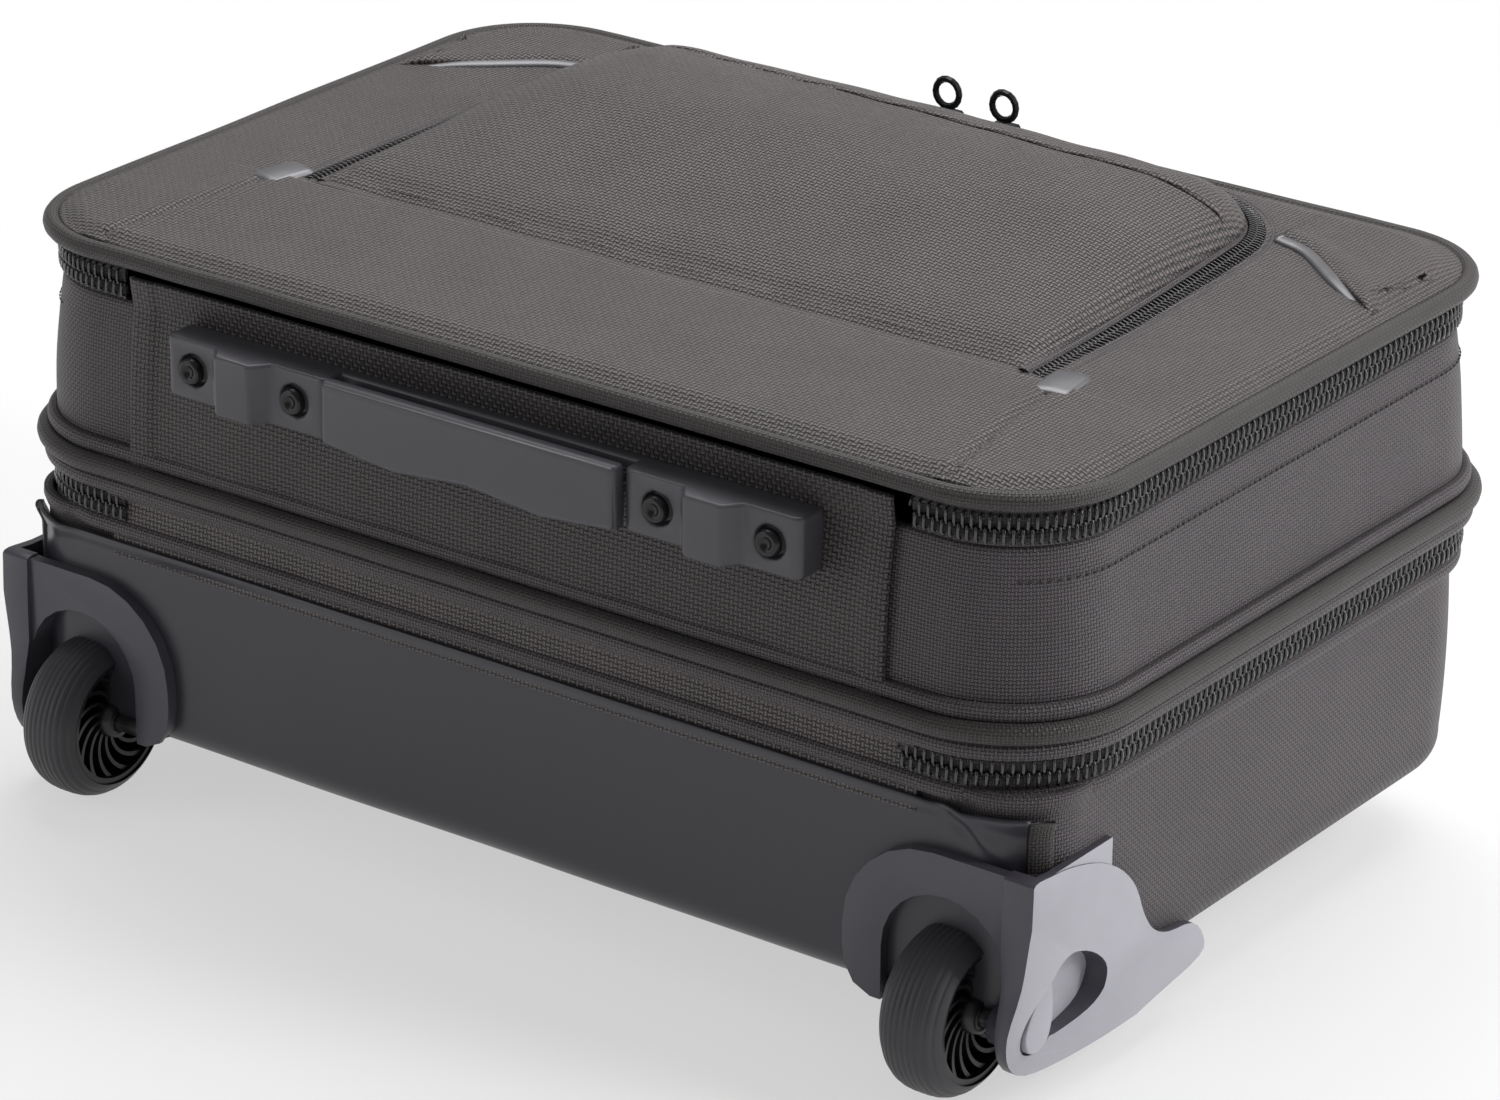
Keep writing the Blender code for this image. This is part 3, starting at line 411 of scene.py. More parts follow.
# the same cloth made darker for the patch over the wheel end: painted shade for a face that gets less light
paintedShadeWeave = wovenMaterial("ballisticNylonDark", "#020202", "#544c4c", 1.7 * mm, 0.5, 1.0)
# packcloth nylon: the same weave from thinner yarns
fineWeave = wovenMaterial("packclothNylon", "#0b0a0b", "#5e555b", 1.25 * mm, 0.5, 0.9)
# piping and binding tape: a tight rib
ribWeave = wovenMaterial("bindingTape", "#0c0b0c", "#48413f", 1.1 * mm, 0.5, 0.8)
liningCloth = wovenMaterial("polyesterLining", "#202022", "#3b3b40", 0.5 * mm, 0.45, 0.2, 0.1)
coilPlastic = newMaterial("polyesterCoil", "#222226", 0.13, Coat_Weight=0.6)[0]
housingPlastic = mouldedMaterial("texturedPolypropylene", "#4a4850", 0.40, 0.5 * mm, 0.06 * mm)
barPlastic = mouldedMaterial("texturedPolypropyleneDark", "#49474d", 0.40, 0.5 * mm, 0.06 * mm)
sheetPlastic = mouldedMaterial("vinylSheet", "#35343b", 0.36, 1.2 * mm, 0.05 * mm, 0.05)
tyreRubber = mouldedMaterial("polyurethaneTyre", "#37363a", 0.5, 0.6 * mm, 0.04 * mm)
corePlastic = mouldedMaterial("nylonWheelCore", "#1a1a1c", 0.35, 0.6 * mm, 0.02 * mm)
tabMetal = mouldedMaterial("satinTab", "#757477", 0.36, 0.4 * mm, 0.02 * mm, 0.05, 0.6)
blackMetal = mouldedMaterial("blackPaintedZinc", "#1b1b1d", 0.3, 0.4 * mm, 0.01 * mm, 0.06, 0.3)
tubeMetal = mouldedMaterial("anodisedAluminium", "#a6a6a9", 0.32, 0.3 * mm, 0.005 * mm, 0.04, 1.0)
axleMetal = mouldedMaterial("turnedSteel", "#a0a0a4", 0.3, 0.3 * mm, 0.005 * mm, 0.04, 1.0)
threadNylon = mouldedMaterial("sewingThread", "#2d2a2b", 0.55, 0.3 * mm, 0.05 * mm)
print("materials made")

placesA, normalsA = caseOutline()
runA = openRun(placesA, normalsA, case["zipStart"], wheelEnd)


piping = {
    "sides": 14,
    "waver": 0.25 * mm,         # how far the sewing wanders
    "waverSize": 60 * mm,
}


def pipe(name, outset, z, radius, body, node):
    # bound cord: a circle carried round the case outline, with a slight hand-sewn waver
    turn = 2 * math.pi * np.arange(piping["sides"]) / piping["sides"]
    ring = np.stack([outset + radius * np.cos(turn), z + radius * np.sin(turn)], 1)
    waver = piping["waver"] * ripple(placesA[:, 0], placesA[:, 1], piping["waverSize"], 3)
    profile = np.broadcast_to(ring, (len(placesA), *ring.shape)).copy()
    profile[..., 1] += waver[:, None]
    made = carried(name, placesA, normalsA, profile, ribWeave, body)
    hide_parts(node)
    return made


pipe("frontPiping", -pipeRadius, frontZ, pipeRadius, "lid", "lid_piping")
pipe("middlePiping", flare - midPipeRadius, midZ, midPipeRadius, "mid_section", "mid_piping")


def gussetFace(z):
    # outset of the middle section's wall, which leans in towards the front
    low, high = box("rear_zip_mid_side")[1][2], box("main_zip_mid_side")[0][2]
    share = np.clip((z - low) / (high - low), 0, 1)
    lowFace = box("mid_gusset")[1][0] - halfWidth
    highFace = box("main_zip_lid_side")[1][0] - halfWidth - case["zipInset"]
    return lowFace + share * (highFace - lowFace)


wall = {
    "swell": 1.6 * mm,          # how far the padding bows the middle section's wall out
    "thickness": 3.5 * mm,
    "crease": 0.5 * mm,
    "tubSwell": 1.2 * mm,       # the same for the rear tub
    "tubThickness": 3.2 * mm,
    "tubRim": 2.2 * mm,         # how far the tub's lip flares
}


def middleWall():
    low, high = box("rear_zip_mid_side")[1][2] + 0.3 * mm, box("main_zip_mid_side")[0][2] - 0.3 * mm
    z = np.linspace(low, high, 34)
    share = (z - low) / (high - low)
    outer = gussetFace(z) + wall["swell"] * np.sin(math.pi * share) ** 0.8
    loop = np.stack([np.r_[outer, outer[::-1] - wall["thickness"]], np.r_[z, z[::-1]]], 1)
    profile = np.broadcast_to(loop, (len(placesA), *loop.shape)).copy()
    around = np.arctan2(placesA[:, 1], placesA[:, 0])
    crease = ripple(around[:, None] * 0.25, z[None], 60 * mm, 8) * np.sin(math.pi * share)
    profile[:, :len(z), 0] += wall["crease"] * crease
    made = carried("middleWall", placesA, normalsA, profile, fineWeave, "mid_section")
    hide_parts("mid_gusset")
    return made


middleWall()


def rearTub():
    # a rounded back edge and a bowed wall carried round the outline, closed by an outer and an inner floor
    places, normals = caseOutline(case["wheelCornerRadius"])
    face, edge = case["tubFace"], case["tubEdge"]
    lip = box("rear_zip_case_side")[0][2] - 0.3 * mm
    turn = np.radians(np.linspace(0, 90, 12))
    corner = np.stack([face - edge * (1 - np.sin(turn)), backZ + edge * (1 - np.cos(turn))], 1)
    z = np.linspace(backZ + edge, lip, 30)[1:]
    swell = wall["tubSwell"] * np.sin(math.pi * (z - z[0]) / (z[-1] - z[0])) ** 0.8
    rim = wall["tubRim"] * smoothStep(lip - 8 * mm, lip - 2 * mm, z)
    outer = np.vstack([corner, np.stack([face + swell + rim, z], 1)])
    inner = outer[::-1] + [-wall["tubThickness"], 0]
    inner[-len(corner):] = corner[::-1] * [1, 0] + [-2 * mm, 0] + [[0, 1]] * np.maximum(
        corner[::-1, 1:], backZ + 3 * mm)
    profile = np.vstack([outer, inner])
    rings = places[:, None] + profile[None, :, :1] * normals[:, None] + profile[None, :, 1:] * [[[0, 0, 1.0]]]
    rows, columns = rings.shape[:2]
    faces = gridFaces(rows, columns, True, False).tolist()
    gaps = np.linalg.norm(np.diff(places, axis=0, append=places[:1]), axis=1)
    u = np.concatenate([[0], np.cumsum(gaps)])
    v = np.concatenate([[0], np.cumsum(np.linalg.norm(np.diff(profile, axis=0), axis=1))])
    uv = gridUv(u, v, True, False).reshape(-1, 2)
    floors = [[i * columns for i in range(rows)], [i * columns + columns - 1 for i in range(rows)][::-1]]
    flat = rings.reshape(-1, 3)
    uv = np.concatenate([uv, flat[floors[0]][:, :2], flat[floors[1]][:, :2]])
    made = keepMesh("rearTub", rings, faces + floors, fineWeave, None, uv)
    flipIfInside(made)
    # room for the housings and for the handle's bezel
    for side in (-1, 1):
        low, high = box("wheel_housing_" + sideName(side).lower())
        low, high = low - [9 * mm, 9 * mm, 9 * mm], high + [9 * mm, 0, -9.5 * mm]
        low[0], high[0] = (low[0] + 9.5 * mm, high[0]) if side > 0 else (low[0], high[0] - 9.5 * mm)
        high[1] = wheelEnd + 42 * mm
        cutBox(made, low, high)
    bezelLow, bezelHigh = box("handle_bezel")
    cutBox(made, bezelLow + [3 * mm, -0.3 * mm, 3 * mm], bezelHigh + [-3 * mm, 9 * mm, -3 * mm])
    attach(made, "case")
    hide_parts("rear_shell")
    return made


def applyModifiers(made):
    bpy.context.view_layer.update()
    seen = made.evaluated_get(bpy.context.evaluated_depsgraph_get())
    mesh = bpy.data.meshes.new_from_object(seen)
    made.modifiers.clear()
    made.data = mesh


def cutBox(made, low, high):
    low, high = np.array(low, float), np.array(high, float)
    corner = np.array([[x, y, z] for x in (0, 1) for y in (0, 1) for z in (0, 1)]) * (high - low) + low
    faces = [[0, 1, 3, 2], [4, 6, 7, 5], [0, 4, 5, 1], [2, 3, 7, 6], [0, 2, 6, 4], [1, 5, 7, 3]]
    tool = keepMesh("cutter", corner, faces, housingPlastic, smooth=False)
    cut = made.modifiers.new("cut", "BOOLEAN")
    cut.object = tool
    cut.operation = "DIFFERENCE"
    applyModifiers(made)
    bpy.data.objects.remove(tool, do_unlink=True)


rearTub()


def panelGrid(half, low, high, lowRadius, highRadius, columns, rows):
    # a grid whose rows are as wide as the rounded outline there: x = a * reach(y)
    t = np.linspace(0, 1, rows)
    y = low + (high - low) * (t - 0.12 * np.sin(2 * math.pi * t) / (2 * math.pi))
    near = np.clip(lowRadius - (y - low), 0, None)
    far = np.clip(highRadius - (high - y), 0, None)
    reach = half - lowRadius + np.sqrt(np.clip(lowRadius ** 2 - near ** 2, 0, None)) if lowRadius else half
    reachFar = half - highRadius + np.sqrt(np.clip(highRadius ** 2 - far ** 2, 0, None))
    reach = np.minimum(reach, reachFar)
    a = np.linspace(-1, 1, columns)
    return a[None] * reach[:, None], np.broadcast_to(y[:, None], (rows, columns))


def insideDistance(x, y, half, low, high, lowRadius, highRadius):
    # distance in from a rounded rectangle's edge, positive inside
    middle = (low + high) / 2
    radius = np.where(y < middle, lowRadius, highRadius)
    dx = np.abs(x) - (half - radius)
    dy = np.abs(y - middle) - ((high - low) / 2 - radius)
    outside = np.hypot(np.maximum(dx, 0), np.maximum(dy, 0)) + np.minimum(np.maximum(dx, dy), 0)
    return radius - outside


def nearLine(x, y, ax, ay, bx, by):
    # distance from the straight line between a and b
    length = math.hypot(bx - ax, by - ay)
    along = np.clip(((x - ax) * (bx - ax) + (y - ay) * (by - ay)) / length ** 2, 0, 1)
    return np.hypot(x - ax - along * (bx - ax), y - ay - along * (by - ay))


panel = {
    "columns": 260, "rows": 180,
    "thickness": 2.0 * mm,
    "fall": 2.4 * mm,           # how far it rolls down at the piping
    "crown": 1.2 * mm,          # padding under its wheel end
    "seamDepth": 0.9 * mm,      # the slanting seams beside the pocket
}


def frontPanel():
    # the lid's face: flat, rolled down at the piping, padded at the wheel end, with two slanting seams
    inset = 2 * pipeRadius - 0.6 * mm
    half, low, high = halfWidth - inset, wheelEnd + inset, handleEnd - inset
    radius = case["cornerRadius"] - inset
    x, y = panelGrid(half, low, high, radius, radius, panel["columns"], panel["rows"])
    edge = insideDistance(x, y, half, low, high, radius, radius)
    z = panelZ + 0.5 * mm - panel["fall"] * (1 - smoothStep(0, 9 * mm, edge))
    z = z + panel["crown"] * smoothStep(10 * mm, 70 * mm, edge) * (y < wheelEnd + 85 * mm)
    z = z + 0.35 * mm * ripple(x, y, 70 * mm, 5) * smoothStep(0, 25 * mm, edge)
    seam = nearLine(np.abs(x), y, 160 * mm, wheelEnd + 84 * mm, 171 * mm, wheelEnd + 10 * mm)
    z = z - panel["seamDepth"] * np.exp(-(seam / (1.3 * mm)) ** 2)
    z = z + 0.5 * mm * np.exp(-((seam - 4 * mm) / (3 * mm)) ** 2)
    made = sheetMesh("frontPanel", np.stack([x, y, z], -1), coarseWeave, None, "lid", panel["thickness"])
    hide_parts("lid_panel")
    # the lid's own short wall, between its zip tape and its piping
    zLow = mainZipZ + case["tapeWidth"]
    loop = np.array([(-9.5 * mm, zLow), (-6.3 * mm, zLow), (-5.9 * mm, zLow + 2 * mm), (-6.0 * mm, frontZ),
                     (-7.5 * mm, frontZ + 1 * mm), (-9.5 * mm, frontZ)])
    strip = carried("lidWall", placesA, normalsA, loop, fineWeave, "lid")


frontPanel()

zipStyle = {
    "largePitch": 3.3 * mm,     # from tooth to tooth along one side
    "largeReach": 2.5 * mm,     # half height of one row of coil
    "largeWire": 0.62 * mm,
    "smallPitch": 2.2 * mm,
    "smallWire": 0.4 * mm,
    "gap": 0.3 * mm,            # between a zip's two sides
}


def coilLine(run, pitch, start):
    # places for a coil whose front strands cross the tape squarely: along = s - pitch/5 * sin(turn)
    places, normals = run
    along = np.concatenate([[0], np.cumsum(np.linalg.norm(np.diff(places, axis=0), axis=1))])
    even = np.linspace(0, along[-1], int(along[-1] / pitch * 12))
    turn = 2 * math.pi * even / pitch + start
    moved = even - pitch / 5 * np.sin(turn)
    place = np.stack([np.interp(moved, along, places[:, k]) for k in range(3)], 1)
    normal = np.stack([np.interp(moved, along, normals[:, k]) for k in range(3)], 1)
    return place, normal / np.linalg.norm(normal, axis=1, keepdims=True), turn


def zipHalf(name, run, face, z, side, pitch, reach, wire, body, nodes, tapeWidth, ups=None):
    # tape: a thin band; coil: a flattened helix, place + bulge*cos(turn)*normal + reach*sin(turn)*up
    up = np.array([0, 0, 1.0]) if ups is None else ups
    edge = np.array([(face - 0.9 * mm, z + side * 0.2 * mm), (face + 0.2 * mm, z + side * 0.2 * mm),
                     (face + 0.4 * mm, z + side * tapeWidth * 0.75), (face + 0.2 * mm, z + side * tapeWidth),
                     (face - 0.9 * mm, z + side * tapeWidth)])
    tape = carried(name + "Tape", *run, edge, ribWeave, body, closed=False)
    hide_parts(*nodes)
    spot, out, turn = coilLine(run, pitch, 0 if side > 0 else math.pi)
    square = np.sign(np.sin(turn)) * np.abs(np.sin(turn)) ** 0.75
    centre = spot + (face + 0.5 * mm + 0.95 * mm * np.cos(turn))[:, None] * out
    centre = centre + (z + side * (reach * 0.80 + reach * square))[:, None] * up
    coil = tubeAlong(name + "Coil", centre, wire, coilPlastic, body, 6)


mainFace = box("main_zip_lid_side")[1][0] - halfWidth - case["zipInset"]
rearFace = box("rear_zip_mid_side")[1][0] - halfWidth - case["zipInset"]
large = (zipStyle["largePitch"], zipStyle["largeReach"], zipStyle["largeWire"])
zipHalf("mainZipLid", runA, mainFace, mainZipZ, 1, *large, "lid", ["main_zip_lid_side"], case["tapeWidth"])
zipHalf("mainZipMiddle", runA, mainFace, mainZipZ - zipStyle["gap"], -1, *large, "mid_section",
        ["main_zip_mid_side"], case["tapeWidth"])
zipHalf("rearZipMiddle", runA, rearFace, rearZipZ, 1, *large, "mid_section", ["rear_zip_mid_side"],
        case["tapeWidth"])
zipHalf("rearZipCase", runA, rearFace, rearZipZ - zipStyle["gap"], -1, *large, "case", ["rear_zip_case_side"],
        case["tapeWidth"])
print("walls, piping and large zips made")


# front pocket: a panel that swells out of the lid, with a zip round three sides
pocketLow, pocketHigh = box("pocket_panel")
pocket = {
    "half": pocketHigh[0],
    "hinge": pocketLow[1],
    "far": pocketHigh[1],
    "corner": 45 * mm,
    "edge": 9 * mm,             # the panel starts this far inside the zip's outline
    "lift": 5 * mm,             # how far its edge stands above the zip
    "rise": 17.5 * mm,          # how far its far end stands out
    "lean": 0.085,              # how much narrower it is at the far end
    "coil": 1.5 * mm,           # half width of one side of its coil
    "thickness": 1.6 * mm,
    "crumple": 0.6 * mm,        # unevenness of its cloth
    "band": 13 * mm,            # folded edge of the slip pocket on it
    "slipThickness": 1.2 * mm,
}


def pocketLean(y):
    # width factor at y: 1 at the hinge, less towards the far end
    share = np.clip((y - pocket["hinge"]) / (pocket["far"] - pocket["hinge"]), 0, 1)
    return 1 - pocket["lean"] * share ** 2


def pocketDome(x, y):
    # height over the lid's flat: a quick rise at the zip, then a slow crown that is highest near the far end
    edge = pocket["edge"]
    inner = insideDistance(x / pocketLean(y), y, pocket["half"] - edge, pocket["hinge"] - 60 * mm,
                           pocket["far"] - edge, pocket["corner"] - edge, pocket["corner"] - edge)
    climb = smoothStep(0, 130 * mm, y - pocket["hinge"])
    lift = pocket["lift"] * (0.5 + 0.9 * climb) * (1 - 0.55 * np.exp(-np.clip(inner, 0, 1) / (3 * mm)))
    top = pocket["rise"] + 1 * mm - 1.4 * pocket["lift"]
    crown = top * (1 - np.exp(-np.clip(inner, 0, 1) / (22 * mm))) * smoothStep(0, 120 * mm, y - pocket["hinge"])
    return (lift + crown) * smoothStep(-2 * mm, 30 * mm, y - pocket["hinge"])


def pocketPanel():
    edge = pocket["edge"]
    half, low, high = pocket["half"] - edge, pocket["hinge"], pocket["far"] - edge
    x, y = panelGrid(half, low, high, 0, pocket["corner"] - edge, 240, 200)
    x = x * pocketLean(y)
    z = panelZ + pocket["thickness"] + pocketDome(x, y)
    z = z + pocket["crumple"] * ripple(x, y, 80 * mm, 11)
    z = z - 1.0 * mm * np.exp(-((y - pocket["hinge"] - 5 * mm) / (2.4 * mm)) ** 2)
    made = sheetMesh("pocketPanel", np.stack([x, y, z], -1), coarseWeave, None, "pocket_flap",
                     pocket["thickness"])
    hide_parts("pocket_panel")


pocketPanel()


def slipPocket():
    # a second layer on the panel; its far edge runs at a slant and is folded into a band
    low, high = pocket["hinge"] + 9 * mm, pocket["far"] - 17 * mm
    half = pocket["half"] - pocket["edge"] - 2 * mm
    x, y = panelGrid(half, low, high, 0, 22 * mm, 220, 190)
    share = smoothStep(low + 60 * mm, high, y)
    y = y - (x + 40 * mm) * 0.085 * share
    edge = high - (x + 40 * mm) * 0.085 * share - y
    x = x * pocketLean(y)
    side = half * pocketLean(y) - np.abs(x)
    z = panelZ + pocket["thickness"] + pocketDome(x, y) + 1.7 * mm
    z = z + pocket["crumple"] * ripple(x, y, 80 * mm, 11)
    z = z - 1.3 * mm * (1 - smoothStep(0, 4 * mm, side)) - 1.3 * mm * (1 - smoothStep(0, 10 * mm, y - low))
    width = pocket["band"]
    band = smoothStep(0, 1.5 * mm, edge) * (1 - smoothStep(width - 0.5 * mm, width + 0.5 * mm, edge))
    groove = np.exp(-((edge - width - 0.2 * mm) / (0.8 * mm)) ** 2)
    z = z + 0.9 * mm * band - 0.7 * mm * groove
    z = z + 0.35 * mm * ripple(x, y, 55 * mm, 21) * smoothStep(0, 20 * mm, side)
    made = sheetMesh("slipPocket", np.stack([x, y, z], -1), coarseWeave, None, "pocket_flap",
                     pocket["slipThickness"])
    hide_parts("slip_pocket")


slipPocket()


def pocketRun(startY):
    # along the pocket's outline from the right tab round the far end to the left tab
    half, far, corner = pocket["half"], pocket["far"], pocket["corner"]
    straight = np.arange(startY, far - corner, case["step"])
    turn = np.radians(np.linspace(0, 90, 26))
    across = np.arange(half - corner, corner - half, -case["step"])[1:]
    x = np.concatenate([np.full(len(straight), half), half - corner + corner * np.cos(turn)])
    y = np.concatenate([straight, far - corner + corner * np.sin(turn)])
    x, y = np.concatenate([x, across, -x[::-1]]), np.concatenate([y, np.full(len(across), far), y[::-1]])
    x = x * pocketLean(y)
    place = np.stack([x, y, np.full(len(x), panelZ)], 1)
    ahead = np.gradient(place, axis=0)
    normal = np.stack([ahead[:, 1], -ahead[:, 0], np.zeros(len(x))], 1)
    return place, normal / np.linalg.norm(normal, axis=1, keepdims=True)


def pocketZip():
    # tapes, coils and cloth rolls on a slope: height(s) = foot + slope * (outline - s)
    place, normal = pocketRun(pocket["hinge"] + 4 * mm)
    climb = smoothStep(0, 130 * mm, place[:, 1] - pocket["hinge"])

    def slope(outset):
        # at the outline's outset, from the lid at +3 mm up to the panel's edge at -9 mm
        share = np.clip((3 * mm - outset) / (12 * mm), 0, 1)
        return 1.2 * mm + share * (1.0 * mm + 2.2 * mm * climb)

    middle = -3 * mm
    for side, name, body, node, end in ((1, "Lid", "lid", "pocket_zip_lid_side", 3.5 * mm),
                                        (-1, "Flap", "pocket_flap", "pocket_zip_panel_side", -9.5 * mm)):
        near = middle + side * 0.15 * mm
        outsets = np.linspace(near, end, 6)
        top = np.stack([np.stack([np.full(len(place), s), slope(s)], 1) for s in outsets], 1)
        under = top[:, ::-1] - [0, 1.0 * mm]
        tape = carried("pocketZip" + name + "Tape", place, normal, np.concatenate([top, under], 1), ribWeave,
                       body, closed=False)
        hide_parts(node)
        spot, out, along = resampled(place, normal, zipStyle["smallPitch"] / 10)
        turn = 2 * math.pi * along / zipStyle["smallPitch"] + (0 if side > 0 else math.pi)
        reach = side * pocket["coil"] * (0.85 + np.sign(np.sin(turn)) * np.abs(np.sin(turn)) ** 0.7)
        foot = np.interp(along, np.linspace(0, along[-1], len(climb)), climb)
        centre = spot + (middle + reach)[:, None] * out
        share = (6 * mm - reach) / (12 * mm)
        centre[:, 2] += 1.2 * mm + share * (1.0 * mm + 2.2 * mm * foot) + 0.55 * mm + 0.5 * mm * np.cos(turn)
        coil = tubeAlong("pocketZip" + name + "Coil", centre, zipStyle["smallWire"], coilPlastic, body, 5)
        turn = np.radians(np.linspace(0, 180, 9))
        spotX = middle + side * 5.6 * mm
        roll = np.stack([side * 2.3 * mm * np.cos(turn), 1.5 * mm * np.sin(turn)], 1)
        roll = np.vstack([roll, [-side * 2.3 * mm, -1.3 * mm], [side * 2.3 * mm, -1.3 * mm]])
        shape = np.broadcast_to(roll, (len(place), *roll.shape)).copy()
        shape[..., 0] += spotX
        shape[..., 1] += slope(spotX)[:, None] - 0.1 * mm
        welt = carried("pocketWelt" + name, place, normal, shape, fineWeave, body, closed=False)


pocketZip()


def stitchBead():
    # a few-faced stitch: a stretched bead with ten corners, length along x
    x = np.array([-0.5, 0.5])
    ring = np.array([(-1, 0), (0, 1), (1, 0), (0, -1)]) * 0.5
    points = np.array([(a * 0.82, b, c) for a in x for b, c in ring] + [(-0.5, 0, -0.4), (0.5, 0, -0.4)])
    faces = [[0, 1, 5, 4], [1, 2, 6, 5], [2, 3, 7, 6], [3, 0, 4, 7], [1, 0, 8], [2, 1, 8], [3, 2, 8], [0, 3, 8],
             [4, 5, 9], [5, 6, 9], [6, 7, 9], [7, 4, 9]]
    return points, faces


def stitches(name, line, up, pitch, body, width=0.75 * mm, share=0.7):
    # beads laid end to end along a line: point = line(s) + length * tangent + width * (across, up)
    line = np.asarray(line, float)
    up = np.broadcast_to(np.asarray(up, float), line.shape)
    along = np.concatenate([[0], np.cumsum(np.linalg.norm(np.diff(line, axis=0), axis=1))])
    at = np.arange(pitch / 2, along[-1], pitch)
    centre = np.stack([np.interp(at, along, line[:, k]) for k in range(3)], 1)
    lift = np.stack([np.interp(at, along, up[:, k]) for k in range(3)], 1)
    ahead = np.stack([np.interp(at, along, np.gradient(line[:, k])) for k in range(3)], 1)
    ahead /= np.linalg.norm(ahead, axis=1, keepdims=True)
    across = np.cross(lift, ahead)
    shape, faces = stitchBead()
    points = (centre[:, None] + shape[None, :, :1] * pitch * share * ahead[:, None]
              + shape[None, :, 1:2] * width * across[:, None] + shape[None, :, 2:] * width * lift[:, None])
    size = len(shape)
    every = [[i * size + corner for corner in face] for i in range(len(at)) for face in faces]
    made = keepMesh(name, points, every, threadNylon)
    flipIfInside(made)
    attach(made, body)
    return made


tab = {
    "length": 21 * mm,
    "width": 14 * mm,
    "turned": 8,                # degrees
    "thickness": 1.2 * mm,
}


def tabs():
    # a folded metal-look tab over each end of the pocket zip: a rounded slab bent down at its outer end
    for side, name in ((-1, "left"), (1, "right")):
        low, high = box("zip_tab_" + name)
        middle = (low + high) / 2
        length, width = tab["length"], tab["width"]
        a, b = np.meshgrid(np.linspace(-1, 1, 21), np.linspace(-1, 1, 15), indexing="ij")
        x = a * width / 2 * (1 - 0.06 * np.abs(b) ** 6)
        y = b * length / 2 * (1 - 0.04 * np.abs(a) ** 6)
        bend = np.maximum(np.abs(a), np.abs(b))
        z = 1.6 * mm - 1.4 * mm * smoothStep(0.80, 1.0, bend) + 1.0 * mm * (1 - a ** 2) * (1 - 0.5 * b ** 2)
        turnBy = math.radians(tab["turned"]) * side
        place = np.stack([middle[0] - side * 1.5 * mm + x * math.cos(turnBy) - y * math.sin(turnBy),
                          middle[1] + 1 * mm + x * math.sin(turnBy) + y * math.cos(turnBy),
                          panelZ + 1.9 * mm + z], -1)
        made = sheetMesh("zipTab" + name.title(), place, tabMetal, None, "lid", tab["thickness"])
        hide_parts("zip_tab_" + name)


tabs()


shoulder = {
    # the trim's course in mm, from the middle and from the wheel end
    "line": [(146, 240), (161, 234), (183, 216), (204, 200)],
    "rows": 40, "columns": 36,
    "trimHalf": 3.6 * mm,       # half width of the satin trim
    "rise": 4.6 * mm,           # how far the patch is padded up
    "thickness": 2 * mm,
}


def yoke():
    # raised shoulder patches at the far corners, edged by a curved satin trim
    rows, columns = shoulder["rows"], shoulder["columns"]
    for side in (-1, 1):
        line = np.array(shoulder["line"]) * mm
        line[:, 1] += wheelEnd
        # a smooth cubic curve through the line's points
        t = np.linspace(0, 3, rows)
        i = np.minimum(t.astype(int), 2)
        f = (t - i)[:, None]
        ends = np.vstack([2 * line[0] - line[1], line, 2 * line[-1] - line[-2]])
        p0, p1, p2, p3 = ends[i], ends[i + 1], ends[i + 2], ends[i + 3]
        curve = 0.5 * (2 * p1 + (p2 - p0) * f + (2 * p0 - 5 * p1 + 4 * p2 - p3) * f ** 2
                       + (3 * p1 - p0 - 3 * p2 + p3) * f ** 3)
        place = np.column_stack([side * curve[:, 0], curve[:, 1], np.full(rows, panelZ)])
        ahead = np.gradient(place, axis=0)
        normal = np.stack([ahead[:, 1], -ahead[:, 0], np.zeros(rows)], 1) * side
        normal /= np.linalg.norm(normal, axis=1, keepdims=True)
        turn = np.radians(np.linspace(0, 180, 13))
        fall = 1 - 0.55 * smoothStep(24, 39, np.arange(rows))
        half = shoulder["trimHalf"]
        trim = np.stack([half * np.cos(turn), 1.5 * mm * np.sin(turn)], 1)
        trim = np.vstack([trim, [-half, -4 * mm], [half, -4 * mm]])
        shape = trim[None] * fall[:, None, None]
        shape[..., 1] += 2.6 * mm * fall[:, None]
        band = carried("yokeTrim" + sideName(side), place, normal, shape, tabMetal, "lid", closed=False)
        # the patch: from the trim's line out to the piping, padded up and rolled down to the edge
        s = np.linspace(0, 1, columns)[None, :, None]
        outer = np.column_stack([np.interp(np.linspace(0, 1, rows), [0, 0.45, 0.75, 1], [146, 172, 196, 207]),
                                 np.interp(np.linspace(0, 1, rows), [0, 0.45, 0.75, 1], [274, 272, 252, 224])])
        outer = outer * mm + [0, wheelEnd]
        radius = case["cornerRadius"] - 2 * pipeRadius
        centre = np.array([halfWidth - case["cornerRadius"], handleEnd - case["cornerRadius"]])
        away = outer - centre
        reach = np.linalg.norm(away, axis=1, keepdims=True)
        corner = (away[:, :1] > 0) & (away[:, 1:] > 0)
        outer = np.where(corner, centre + away / reach * radius, outer)
        outer[:, 0] = np.minimum(outer[:, 0], halfWidth - 2 * pipeRadius + 0.4 * mm)
        outer[:, 1] = np.minimum(outer[:, 1], handleEnd - 2 * pipeRadius + 0.4 * mm)
        grid = curve[:, None] * (1 - s) + outer[:, None] * s
        edge = insideDistance(grid[..., 0], grid[..., 1], halfWidth - 2 * pipeRadius, wheelEnd,
                              handleEnd - 2 * pipeRadius, radius, radius)
        z = panelZ + shoulder["rise"] * smoothStep(-1 * mm, 12 * mm, edge) - 0.6 * mm
        z = z + 0.9 * mm * np.sin(math.pi * np.clip(s[..., 0] * 4, 0, 1))
        points = np.stack([side * grid[..., 0], grid[..., 1], z], -1)
        if side < 0:
            points = points[::-1]
        patch = sheetMesh("yokePatch" + sideName(side), points, coarseWeave, None, "lid", shoulder["thickness"])


